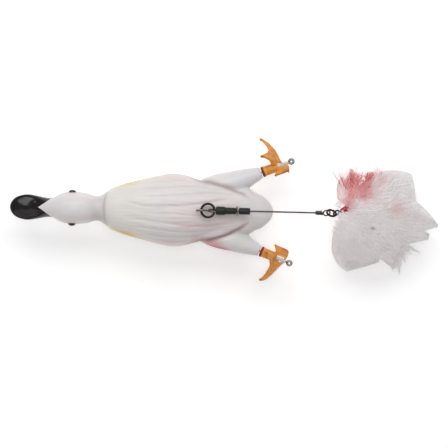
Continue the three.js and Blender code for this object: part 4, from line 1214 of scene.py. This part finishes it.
# Red thread whipping: turns of thread over the feather roots, under lacquer.
coil = []
turns = 21
for k in range(turns * 22):
    t = k / (turns * 22 - 1)
    s = 2.95 + 6.6 * t
    r = np.interp(s, [2.9, 3.4, 4.2, 6.4, 8.4, 9.6], [1.55, 1.95, 2.2, 2.3, 1.95, 1.45])
    a = t * turns * 2 * math.pi
    coil.append((s, r * math.cos(a), r * math.sin(a)))
core = lathe([(2.9, 0.9), (2.95, 1.5), (4.1, 2.2), (6.5, 2.33), (8.5, 1.95), (9.55, 1.4), (9.6, 0.9)], 48, closed=False)
knot = []
for k in range(60):
    a, t = k / 59 * 2 * math.pi * 6, k / 59
    r = 1.75 * math.sin(math.pi * (0.06 + 0.88 * t)) ** 0.7
    knot.append((3.3 + 3.9 * t, 1.35 + r * math.cos(a), 1.55 + r * 0.75 * math.sin(a)))
bead = lathe([(3.2, 0.1), (3.35, 0.75), (3.9, 1.35), (5.2, 1.72), (6.5, 1.35), (7.1, 0.75), (7.25, 0.1)], 28, closed=False)
bead = (bead[0] * [1, 1, 0.8] + [0, 1.35, 1.55], bead[1])
v, f = on_hook(merge(core, bead, sweep(np.array(coil), 0.17, 6), sweep(np.array(knot), 0.16, 6)))
outward(make("whipping_turns", v, f, "hook", THREAD, ("thread_whipping",)))


# ------------------------------------------------------------------ feathers
def canopy(x, y):
    return np.maximum(3.5, 28.2 - 0.0125 * (x - 97) ** 2 - 0.024 * (y + 2) ** 2)


def underside(x, y):
    return np.maximum(1.0, 11 - 0.02 * (x - 92) ** 2 - 0.028 * y**2)


WHITE_T = np.array(srgb(250, 246, 246))
PINK_T = np.array(srgb(236, 176, 178))
RED_T = np.array(srgb(206, 30, 52))


def tint_at(x, y, base):
    """Dye that has spread from the red roots, and two painted shadow spots where the hook's points lie under the vane.
    """
    c = np.tile(base, (len(x), 1)) if base.ndim == 1 else base.copy()

    def lay(mask, rgb, k):
        m = (np.clip(mask, 0, 1) * k)[:, None]
        c[:] = c * (1 - m) + np.array(rgb) * m

    lay(gauss(np.hypot(x - 113, y - 2.5), 4.5), srgb(236, 206, 204), 0.5)
    lay(gauss(np.hypot(x - 105, y - 18.2), 3.5), srgb(238, 190, 192), 0.5)
    lay(gauss(np.hypot(x - 97, y - 12), 5.5), srgb(240, 168, 172), 0.5)
    lay(gauss(np.hypot(x - 88, y - 5), 3.6), srgb(230, 130, 138), 0.55)
    # Painted shadows: two dark spots where the hook's points lie under the feathers.
    lay(gauss(np.hypot((x - 94.7) / 1.3, y - 12.0), 0.7), srgb(92, 70, 74), 0.8)
    lay(gauss(np.hypot((x - 100.5) / 1.6, y + 7.6), 0.7), srgb(120, 112, 112), 0.7)
    return c


def ribbons(lines, half_width, thick, tilt=None):
    """Closed flat-diamond ribbons along many lines at once: lines is (count, points, 3)."""
    lines = np.asarray(lines, float)
    n, m, _ = lines.shape
    t = np.gradient(lines, axis=1)
    t /= np.maximum(np.linalg.norm(t, axis=2, keepdims=True), 1e-9)
    up = np.zeros_like(t)
    up[..., 2] = 1
    side = np.cross(t, up)
    side /= np.maximum(np.linalg.norm(side, axis=2, keepdims=True), 1e-9)
    nrm = np.cross(side, t)
    if tilt is not None:
        side, nrm = side * np.cos(tilt)[..., None] + nrm * np.sin(tilt)[..., None], nrm * np.cos(tilt)[..., None] - side * np.sin(tilt)[..., None]
    w = half_width[..., None]
    h = thick[..., None]
    sec = np.stack([lines - side * w, lines + nrm * h, lines + side * w, lines - nrm * h], axis=2)  # n, m, 4, 3
    v = sec.reshape(-1, 3)
    base = (np.arange(n)[:, None, None] * m + np.arange(m - 1)[None, :, None]) * 4
    k = np.arange(4)[None, None, :]
    k2 = (k + 1) % 4
    q = np.stack([base + k, base + k2, base + 4 + k2, base + 4 + k], axis=3).reshape(-1, 4)
    s0 = np.arange(n) * m * 4
    caps0 = np.stack([s0 + 3, s0 + 2, s0 + 1, s0], axis=1)
    e0 = s0 + (m - 1) * 4
    caps1 = np.stack([e0, e0 + 1, e0 + 2, e0 + 3], axis=1)
    return v, np.vstack([q, caps0, caps1])


def make_fast(name, v, f, body, mats, node, tint=None, mat_index=None):
    me = bpy.data.meshes.new(name)
    f = np.asarray(f, np.int32)
    me.vertices.add(len(v))
    me.vertices.foreach_set("co", (np.asarray(v, float) * MM).astype(np.float32).ravel())
    me.loops.add(f.size)
    me.loops.foreach_set("vertex_index", f.ravel())
    me.polygons.add(len(f))
    me.polygons.foreach_set("loop_start", np.arange(0, f.size, 4, dtype=np.int32))
    me.update(calc_edges=True)
    for m in mats:
        me.materials.append(m)
    if mat_index is not None:
        me.polygons.foreach_set("material_index", np.asarray(mat_index, np.int32))
    me.polygons.foreach_set("use_smooth", [True] * len(f))
    if tint is not None:
        a = me.attributes.new("tint", "FLOAT_COLOR", "POINT")
        rgba = np.ones((len(v), 4), np.float32)
        rgba[:, :3] = tint
        a.data.foreach_set("color", rgba.ravel())
    o = bpy.data.objects.new(name, me)
    bpy.context.scene.collection.objects.link(o)
    finish_piece(o, body, (node,) if node else ())
    return o


def build_feather(name, node, plan, widths, layer, seed, surface=canopy, base=WHITE_T, barbs=120, lean=0.9,
                  splits=3, frayed=0.0, left=None, right=None, cup=0.5, bend=1.35, half=0.27, material=None, lift=0.0, root_at=None):
    g = rng(seed)
    pl = plan_line(plan)
    seg = np.concatenate([[0], np.cumsum(np.linalg.norm(np.diff(pl, axis=0), axis=1))])
    L = seg[-1]
    tt = seg / L
    wk = np.linspace(0, 1, len(widths))
    tf = np.linspace(0, 1, 200)
    wr = np.maximum(pchip(wk if right is None else np.linspace(0, 1, len(right)), widths if right is None else right, tf), 0.05)
    wl = np.maximum(pchip(wk if left is None else np.linspace(0, 1, len(left)), widths if left is None else left, tf), 0.05)

    def place(t, lat):
        x = np.interp(t, tt, pl[:, 0])
        y = np.interp(t, tt, pl[:, 1])
        e = 2e-3
        u = np.clip(t, e, 1 - e)
        dx = np.interp(u + e, tt, pl[:, 0]) - np.interp(u - e, tt, pl[:, 0])
        dy = np.interp(u + e, tt, pl[:, 1]) - np.interp(u - e, tt, pl[:, 1])
        k = np.hypot(dx, dy)
        over = np.maximum(t - 1, 0) * L
        return x - dy / k * lat + dx / k * over, y + dx / k * lat + dy / k * over

    lines, hw, th, tl, tint = [], [], [], [], []
    M = 11
    s = np.linspace(0, 1, M)
    for side, wv in ((1, wl), (-1, wr)):
        cuts = np.sort(g.uniform(0.15, 0.92, splits))
        push = g.uniform(-0.5, 0.5, splits + 1)
        for k in range(barbs):
            t0 = 0.01 + 0.985 * (k + g.uniform(-0.3, 0.3)) / barbs
            t0 = min(max(t0, 0.0), 0.995)
            t1 = t0
            for _ in range(5):
                t1 = min(1.0, t0 + lean * np.interp(min(t1, 1), tf, wv) / L)
            w1 = np.interp(t1, tf, wv)
            if t1 >= 1.0:
                # The last barbs fan to close the tip.
                room = 1 - t0
                w1 = w1 + (np.interp(1.0, tf, wv)) * 0 + 0.0
                w1 = np.interp(1.0, tf, wv) * min(1, room * L / max(lean * np.interp(1.0, tf, wv), 1e-3))
            cell = np.searchsorted(cuts, t0)
            w1 = w1 * (1 + g.normal(0, 0.012) - abs(g.normal(0, frayed)))
            t1 = t1 + push[cell] * 0.010 * (10 / L)
            along = t0 + (t1 - t0) * s**1.25
            lat = side * w1 * (1 - (1 - s) ** bend)
            lat = lat + side * 0.05
            wave = g.normal(0, 0.05) * np.sin(s * math.pi * 2 + g.uniform(0, 6)) * w1 * 0.1
            x, y = place(along, lat + wave)
            ww = max(w1, 0.5)
            z = surface(x, y) + layer * 1.35 + lift + g.normal(0, 0.04) - cup * (np.abs(lat) / max(wv.max(), 1)) ** 2 * 1.0
            z = z + 0.22 * np.sin(t0 * 19 + seed) * s + push[cell] * 0.35 * s
            z = np.maximum(z, 0.3)
            lines.append(np.column_stack([x, y, z]))
            taper = np.interp(s, [0, 0.1, 0.6, 0.9, 1], [0.5, 0.95, 1.0, 0.75, 0.12])
            hw.append(half * taper * (0.9 + 0.3 * g.random()))
            th.append(np.full(M, 0.05) * np.interp(s, [0, 1], [1.2, 0.4]))
            tl.append(np.full(M, -side * 0.1 + g.normal(0, 0.07)))
            shade = 1 + g.normal(0, 0.018)
            c = tint_at(x, y, base * shade) if base.ndim == 1 else base
            tint.append(np.repeat(c, 4, axis=0))
    v, f = ribbons(np.array(lines), np.array(hw), np.array(th), np.array(tl))
    tint = np.clip(np.vstack(tint), 0, 1)
    # Quill: from the whipping to just short of the tip.
    qt = np.linspace(0, 0.97, 44)
    qx, qy = place(qt, np.zeros(44))
    qz = surface(qx, qy) + layer * 1.35 + lift - 0.1
    qp = np.column_stack([qx, qy, qz])
    if root_at is not None:
        qp = np.vstack([spline([root_at, (np.array(root_at) + qp[0]) / 2 + [0, 0, 0.4], qp[0]], 12)[:-1], qp])
    qr = np.interp(np.linspace(0, 1, len(qp)), [0, 0.2, 1], [0.24, 0.17, 0.05])
    n, m = 1, len(qp)
    a = np.linspace(0, 2 * np.pi, 8, endpoint=False)
    t, nn, bb = transport(qp)
    qv = (qp[:, None, :] + qr[:, None, None] * (np.cos(a)[None, :, None] * nn[:, None, :] + np.sin(a)[None, :, None] * bb[:, None, :])).reshape(-1, 3)
    qf = np.array([(i * 8 + k, i * 8 + (k + 1) % 8, (i + 1) * 8 + (k + 1) % 8, (i + 1) * 8 + k) for i in range(m - 1) for k in range(8)] +
                  [(3, 2, 1, 0), (7, 6, 5, 4), (4, 3, 0, 7)] + [((m - 1) * 8 + i, (m - 1) * 8 + j, (m - 1) * 8 + k, (m - 1) * 8 + l) for i, j, k, l in ((0, 1, 2, 3), (4, 5, 6, 7), (7, 0, 3, 4))])
    mi = np.concatenate([np.zeros(len(f), int), np.ones(len(qf), int)])
    allv = np.vstack([v, qv])
    allf = np.vstack([f, qf + len(v)])
    tint = np.vstack([tint, np.tile(WHITE_T, (len(qv), 1))])
    return make_fast(name, allv, allf, "hook", [material or FEATHER, FEATHER], node, tint, mi)


ROOT = O_hook + M_hook @ np.array([8.2, 0, 0.0])
build_feather("tail_vane", "feather_tail", [[92, .5], [108, -.5], [122, -2.5], [136.4, -5.6]], [2, 7, 9.5, 8.5, 1], 3, 11,
              left=[2.5, 8.5, 11.5, 10.6, 6.6, 0.7], right=[2, 8, 10.5, 9.5, 5.2, 0.6], barbs=160, lean=1.0, splits=5, root_at=ROOT + [0, 0.4, 1.2])
build_feather("upper_vane", "feather_upper", [[93, 5], [104, 10.5], [113, 12.8], [123.4, 14.0]], [2, 6.5, 9, 9.2, 8], 1, 12,
              left=[3, 8.0, 10.4, 11.0, 10.0, 7.6], right=[3, 7.5, 10.6, 11.5, 10.6, 6.5], barbs=150, lean=0.7, splits=3, root_at=ROOT + [0, 1.0, 0.5])
build_feather("lower_tail_vane", "feather_lower_tail", [[93, -2.5], [106, -6], [118, -9.8], [131.6, -11.6]], [2, 7, 9, 7, 1.5], 2, 13,
              left=[2, 7, 8.5, 7.5, 4.5, 1.6], right=[2, 7.5, 9.5, 7.6, 4.0, 1.2], barbs=130, lean=0.9, splits=7, root_at=ROOT + [0, -0.5, 0.8])
build_feather("wispy_vane", "feather_wispy", [[96, -7], [103.5, -14.5], [109.5, -21], [114.0, -28.5]], [2, 6, 6.5, 5, 1], 0, 14,
              barbs=130, lean=1.3, splits=14, frayed=0.2, left=[3, 8.5, 9.5, 7.0, 1.2], right=[3, 7.0, 7.0, 4.0, 0.6], root_at=ROOT + [0, -1.2, 0])
build_feather("round_vane", "feather_round", [[91, -4], [92, -11], [94.0, -19], [97, -28.2]], [2, 8.5, 11, 10.5, 6], 1, 15,
              left=[3, 9, 12.0, 12.0, 8.5], right=[4.6, 11.0, 13.4, 12.4, 8.6], barbs=170, lean=0.5, splits=2, cup=1.2, root_at=ROOT + [0, -1.2, 0.5])
build_feather("side_vane", "feather_side", [[88.5, -5.0], [86, -9], [84.4, -14], [84, -20.0]], [1.5, 3.5, 3.6, 2.5], 0, 16, left=[2, 5, 5, 3], right=[2, 4.4, 4.2, 2.6], barbs=80, lean=0.8, root_at=ROOT + [-1, -1.2, 0])
build_feather("cover_vane", "feather_cover", [[93, -4.5], [101, -7], [109, -9], [117, -10]], [2, 5.5, 6, 2], 4, 17, barbs=80, lean=1.2, splits=6, frayed=0.15, root_at=ROOT + [0, -0.2, 1.4])
build_feather("front_point_vane", "feather_point_front", [[87, 4], [85.2, 9.5], [84.4, 14.5], [84.7, 19.4]], [1.6, 3.2, 2.4, .5], 1, 18,
              base=np.array(srgb(248, 226, 226)), barbs=80, lean=1.6, splits=4, half=0.2, frayed=0.05, root_at=ROOT + [-1, 1.2, 0.5])
build_feather("back_point_vane", "feather_point_back", [[89.4, 6.5], [89.8, 13], [90, 18.5], [90, 23.6]], [1.6, 3.6, 2.6, .5], 0, 19,
              base=np.array(srgb(246, 212, 213)), left=[2, 4.6, 3.4, .5], right=[2, 4.6, 3.4, .5], barbs=90, lean=1.6, splits=5, half=0.22, frayed=0.08, root_at=ROOT + [-1, 1.2, 0])
build_feather("under_right_vane", "under_feather_right", [[92, 7], [100, 10], [110, 12], [121, 13]], [1.5, 4.5, 5, 2], 0, 20, surface=underside, barbs=90, lean=1.0, root_at=ROOT + [2, 1.2, -1.5])
build_feather("under_left_vane", "under_feather_left", [[92, -8], [100, -12], [109, -16], [119, -18]], [1.5, 4.5, 5, 2], 0, 21, surface=underside, barbs=90, lean=1.0, root_at=ROOT + [2, -1.2, -1.5])

OUTLINE = np.array([[84.7, 0.4], [82.9, 7.0], [83.3, 12.3], [84.9, 18.6], [87.0, 13.4], [90.0, 22.4], [93.6, 21.0], [102, 21.6], [110, 22.6], [115.7, 21.8], [122.2, 20.8], [122.9, 18.3], [121.2, 14.1], [120.9, 7.8],
                    [124.6, 4.0], [129.3, 0.4], [133.8, -2.9], [135.2, -5.4], [133.8, -7.2], [130.8, -8.6], [130.6, -11.2], [127.0, -13.8], [119.5, -15.8], [116.5, -20.0], [113.5, -27.0], [109.8, -25.4],
                    [106.3, -23.9], [102, -26.0], [98.4, -27.2], [94.7, -27.0], [89.2, -25.0], [84.2, -21.8], [81.7, -17.6], [81.2, -12.1], [82.2, -7.0], [84.9, -3.4]])


def inside(x, y):
    px, py = OUTLINE[:, 0], OUTLINE[:, 1]
    qx, qy = np.roll(px, -1), np.roll(py, -1)
    hit = ((py[None] > y[:, None]) != (qy[None] > y[:, None])) & (x[:, None] < (qx - px)[None] * (y[:, None] - py[None]) / (qy - py + 1e-12)[None] + px[None])
    return hit.sum(1) % 2 == 1


def build_down(name, count, seed, top, length, half, keep, spread=0.25, curl_by=0.5):
    """Loose down over the feathers: fine fibres that fan out from the whipping."""
    g = rng(seed)
    n = count
    x, y = g.uniform(81, 134, n * 5), g.uniform(-31, 22, n * 5)
    ok = inside(x, y) & keep(x, y, g.random(n * 5))
    x, y = x[ok][:n], y[ok][:n]
    n = len(x)
    ang = np.arctan2(y - 1.0, x - 82.0) + g.normal(0, spread, n)
    ln = g.uniform(*length, n)
    M = 7
    s = np.linspace(0, 1, M)
    dirx, diry = np.cos(ang), np.sin(ang)
    bend_ = g.normal(0, curl_by, n)
    along = (s - 0.5)[None] * ln[:, None]
    off = (bend_ * ln * 0.2)[:, None] * (s - 0.5)[None] ** 2 * 4
    X = x[:, None] + dirx[:, None] * along - diry[:, None] * off
    Y = y[:, None] + diry[:, None] * along + dirx[:, None] * off
    # A fibre that would cross the outline is shortened to stay inside it.
    for _ in range(3):
        out = ~inside(X[:, -1], Y[:, -1])
        f = np.where(out, 0.6, 1.0)[:, None]
        X = X[:, :1] + (X - X[:, :1]) * f
        Y = Y[:, :1] + (Y - Y[:, :1]) * f
    lay = g.uniform(*top, n)[:, None]
    Z = canopy(X, Y) + lay + 0.5 * np.sin(math.pi * s)[None] * g.uniform(0, 1, n)[:, None]
    lines = np.stack([X, Y, Z], axis=2)
    hw = half * g.uniform(0.6, 1.3, n)[:, None] * np.interp(s, [0, 0.2, 0.7, 1], [0.3, 1, 0.9, 0.1])[None]
    th = np.full((n, M), 0.03)
    v, f = ribbons(lines, hw, th, np.repeat(g.normal(0, 0.12, n)[:, None], M, 1))
    base = WHITE_T[None] * g.uniform(0.97, 1.02, n)[:, None]
    tint = tint_at(X.ravel(), Y.ravel(), np.repeat(base, M, axis=0))
    return make_fast(name, v, f, "hook", [FEATHER], None, np.clip(np.repeat(tint, 4, axis=0), 0, 1))


def build_wisps():
    """Points of stuck-together barbs at the loose corner of the fan."""
    g = rng(51)
    M = 9
    s = np.linspace(0, 1, M)
    tips = [(128.3, -20.2, 13), (125.2, -17.6, 8), (121.2, -23.4, 11), (123.5, -21.2, 7), (120.2, -26.0, 12), (118.4, -28.6, 8), (117.2, -32.2, 15), (115.4, -30.6, 10), (113.6, -31.2, 12), (112.0, -28.6, 8), (118.8, -24.0, 8)]
    lines, hw, tint = [], [], []
    for tx, ty, n in tips:
        for i in range(n):
            b = np.array([g.uniform(104, 116), 0.0])
            b[1] = -8 - (b[0] - 104) * 0.75 + g.uniform(-3.5, 1.5)
            e = np.array([tx, ty]) + g.normal(0, 0.28, 2) + (1 - (g.random() ** 0.4)) * (b - [tx, ty]) * 0.5
            mid = (b + e) / 2 + np.array([g.uniform(0.2, 1.6), g.uniform(-0.4, 1.4)])
            xy = (1 - s)[:, None] ** 2 * b + 2 * (s * (1 - s))[:, None] * mid + (s**2)[:, None] * e
            z = canopy(xy[:, 0], xy[:, 1]) + 1.2 + g.uniform(-0.4, 1.2) - 0.5 * s
            lines.append(np.column_stack([xy, np.maximum(z, 0.4)]))
            hw.append(0.26 * g.uniform(0.7, 1.2) * np.interp(s, [0, 0.3, 0.8, 1], [0.5, 1, 0.75, 0.08]))
            tint.append(np.tile(WHITE_T * g.uniform(0.94, 1.01), (M * 4, 1)))
    hw = np.array(hw)
    v, f = ribbons(np.array(lines), hw, np.full(hw.shape, 0.035))
    make_fast("wisp_barbs", v, f, "hook", [FEATHER], None, np.clip(np.vstack(tint), 0, 1))


build_wisps()
near = lambda x, y: np.hypot(x - 84, y - 0.5)
spot = lambda x, y: np.hypot((x - 86.6) / 1.0, y - 3.0) > 3.9
build_down("outer_down", 3600, 31, (4.6, 6.2), (5, 12), 0.14, lambda x, y, r: (near(x, y) > 9) & (r < np.interp(near(x, y), [9, 20, 45], [1, 0.9, 0.35])) & ~((x < 103) & (y > 5)))
build_down("inner_down", 2600, 32, (5.0, 6.9), (4, 8), 0.17, lambda x, y, r: (near(x, y) < 20) & (y < 3.5 + (x > 91) * 2.5) & spot(x, y), spread=0.4)
build_down("base_down", 1500, 33, (1.2, 4.5), (4, 8), 0.2, lambda x, y, r: (near(x, y) < 13) & (y < 7) & spot(x, y), spread=0.5)


# Red marabou: wavy stems from the whipping, each with fine side fibres.
def build_tuft():
    g = rng(77)
    lines, hw, th, tint = [], [], [], []
    M = 9
    s = np.linspace(0, 1, M)
    reds = [np.array(srgb(*c)) for c in ((204, 40, 62), (224, 74, 90), (239, 126, 132), (246, 173, 175), (250, 215, 215))]

    def add(p, w0, c):
        lines.append(p)
        hw.append(w0 * np.interp(s, [0, 0.7, 1], [1, 0.8, 0.2]))
        th.append(np.full(M, w0 * 0.45))
        tint.append(np.repeat(np.tile(c, (M, 1)), 4, axis=0))

    stems = 34
    for i in range(stems):
        # Each stem reaches a place on the patch that the tuft covers.
        ang = g.uniform(math.radians(18), math.radians(97))
        reach = g.uniform(9, 19.5) * (1 - 0.12 * math.cos(2 * ang))
        root = ROOT + np.array([-2.2 + g.normal(0, 0.4), 1.6 + g.normal(0, 0.3), 1.8 + g.normal(0, 0.3)])
        tip = np.array([87.5 + reach * math.cos(ang) * 0.82, 4.5 + reach * math.sin(ang), 0])
        tip[2] = canopy(tip[0], tip[1]) + 3.2 + g.uniform(-0.8, 1.6)
        mid = (root + tip) / 2 + np.array([g.normal(0, 0.8), g.normal(0, 0.6), 1.0 + g.uniform(-0.4, 1.0)])
        stem = (1 - s)[:, None] ** 2 * root + 2 * (s * (1 - s))[:, None] * mid + (s**2)[:, None] * tip
        stem = stem + 0.16 * np.column_stack([np.sin(s * 9 + i), np.cos(s * 8 + i), np.sin(s * 7)]) * s[:, None]
        near = 1 - min(1, (reach - 8) / 12)
        c = reds[int(np.clip(g.normal(3.3, 0.9), 0, 4))]
        add(stem, 0.09, c * g.uniform(0.95, 1.05))
        d = unit(tip - root)
        perp = np.array([-d[1], d[0], 0])
        for k in range(16):
            u = g.uniform(0.18, 1.0)
            b = np.array([np.interp(u, s, stem[:, j]) for j in range(3)])
            sd = 1 if k % 2 else -1
            ln = g.uniform(1.6, 3.8) * (1.1 - 0.5 * u)
            out = unit(d * g.uniform(0.9, 1.6) + perp * sd * g.uniform(0.5, 1.2) + np.array([0, 0, g.normal(0.05, 0.28)]))
            p = b + out * ln * s[:, None] + d * (ln * 0.35) * (s**2)[:, None] + np.array([0, 0, -0.25]) * (s**2)[:, None]
            add(p, 0.055, np.clip(c * g.uniform(0.9, 1.15) + 0.02, 0, 1))
    # Loose red hairs that stand out past the feathers' edge.
    for i in range(64):
        ang = math.radians(g.uniform(36, 122))
        r0 = g.uniform(5, 10)
        b = np.array([88 + r0 * math.cos(ang), 8 + r0 * math.sin(ang), 0])
        b[2] = canopy(b[0], b[1]) + 2.8
        ln = g.uniform(5, 9.5)
        d = np.array([math.cos(ang + g.normal(0, 0.25)), math.sin(ang + g.normal(0, 0.25)), g.uniform(-0.25, 0.2)])
        p = b + d * ln * s[:, None] + np.array([g.normal(0, 0.8), g.normal(0, 0.5), -0.6]) * (s**2)[:, None]
        add(p, 0.06, reds[int(g.integers(0, 3))])
    # A bright knot of dyed down near the outer edge, and pale pink down at the sides.
    for cx, cy_, n, rr, cs in ((99.2, 18.6, 150, 2.6, (0, 1, 2)), (95.5, 15.0, 150, 4.2, (1, 3, 4)), (92.5, 11.0, 150, 4.2, (3, 3, 4)), (91.5, 17.5, 110, 3.2, (2, 3, 4)), (103.5, 21.0, 50, 2.4, (2, 3, 4)), (96.5, 8.0, 120, 4.5, (3, 4, 4)), (89.5, 7.0, 90, 3.0, (3, 3, 4))):
        for i in range(n):
            a, r = g.uniform(0, 2 * math.pi), rr * math.sqrt(g.random())
            b = np.array([cx + r * math.cos(a), cy_ + r * math.sin(a), 0])
            b[2] = canopy(b[0], b[1]) + 2.7 + g.uniform(0, 1.2)
            d = unit(np.array([g.normal(0.3, 0.5), g.normal(0.9, 0.4), g.normal(0, 0.2)]))
            ln = g.uniform(1.4, 3.2)
            p = b + d * ln * s[:, None] + np.array([g.normal(0, 0.5), g.normal(0, 0.3), -0.3]) * (s**2)[:, None]
            add(p, 0.07, reds[cs[int(g.integers(0, 3))]] * g.uniform(0.9, 1.1))
    v, f = ribbons(np.array(lines), np.array(hw), np.array(th))
    make_fast("red_marabou", v, f, "hook", [FLUFF], "red_tuft", np.clip(np.vstack(tint), 0, 1))


build_tuft()

# Cut quill ends in front of the whipping.
qs = []
for i, (a, b, r) in enumerate([((3.1, 2.0, 1.0), (-1.8, 4.1, 2.6), 0.17), ((3.2, -0.6, 2.2), (1.6, -0.9, 2.6), 0.3), ((3.1, -1.7, 0.9), (0.6, -2.6, 1.3), 0.26), ((3.1, 0.6, 2.3), (1.9, 0.8, 2.9), 0.26)]):
    a, b = np.array(a), np.array(b)
    qs.append(sweep(resample(np.array([a, (a + b) / 2 + [0, 0, 0.15], b]), 8), np.linspace(r, r * 0.7, 8), 10))
v, f = on_hook(merge(*qs))
outward(make("quill_ends", v, f, "hook", QUILL, ()))

# ------------------------------------------------------------------ CAD nodes that stay
for n in ("ballast_front", "ballast_rear"):
    ob = frame["nodes"][n]
    ob.data.materials.clear()
    ob.data.materials.append(CAST)

# ------------------------------------------------------------------ floor, lights, camera
fm, nt, b = material("studio_floor")
nn = Net(nt)
nn.put(b.inputs["Base Color"], nn.ramp(nn.noise(nn.coords(), 6, 2), [(0.3, (0.93, 0.93, 0.93)), (0.7, (0.96, 0.96, 0.96))]))
nn.put(b.inputs["Roughness"], nn.math("ADD", nn.math("MULTIPLY", nn.noise(nn.coords(), 40, 2), 0.1), 0.8))
b.inputs["Emission Color"].default_value = (1, 1, 1, 1)
b.inputs["Emission Strength"].default_value = 0.27
me = bpy.data.meshes.new("studio_floor")
R = 1.6
me.from_pydata([(-R, -R, -0.0015), (R, -R, -0.0015), (R, R, -0.0015), (-R, R, -0.0015)], [], [(0, 1, 2, 3)])
me.materials.append(fm)
floor = bpy.data.objects.new("studio_floor", me)
bpy.context.scene.collection.objects.link(floor)


def area(name, loc, size, power, target=(0.02, 0, 0.02), color=(1, 1, 1)):
    l = bpy.data.lights.new(name, "AREA")
    l.shape = "RECTANGLE"
    l.size, l.size_y = size
    l.energy = power
    l.color = color
    o = bpy.data.objects.new(name, l)
    o.location = loc
    o.rotation_euler = (Vector(target) - Vector(loc)).to_track_quat("-Z", "Y").to_euler()
    bpy.context.scene.collection.objects.link(o)
    return o


area("key", (0.0, 0.55, 0.75), (0.9, 0.5), 4.15)
area("top", (0.0, 0.05, 1.35), (0.42, 0.42), 2.9)
area("fill", (-0.5, -0.6, 0.6), (0.6, 0.6), 0.6)

world = bpy.data.worlds.new("studio")
world.use_nodes = True
world.node_tree.nodes["Background"].inputs[0].default_value = (1, 1, 1, 1)
world.node_tree.nodes["Background"].inputs[1].default_value = 0.34
bpy.context.scene.world = world

cam = bpy.data.cameras.new("camera")
cam.lens = 180.3
cam.sensor_width = 36
cam.dof.use_dof = False
cam.clip_end = 10
co = bpy.data.objects.new("camera", cam)
co.location = (0.0231, -0.00684, 1.2)
co.rotation_euler = (0, 0, math.radians(1.16))
bpy.context.scene.collection.objects.link(co)
bpy.context.scene.camera = co
bpy.context.scene.view_settings.view_transform = "Standard"
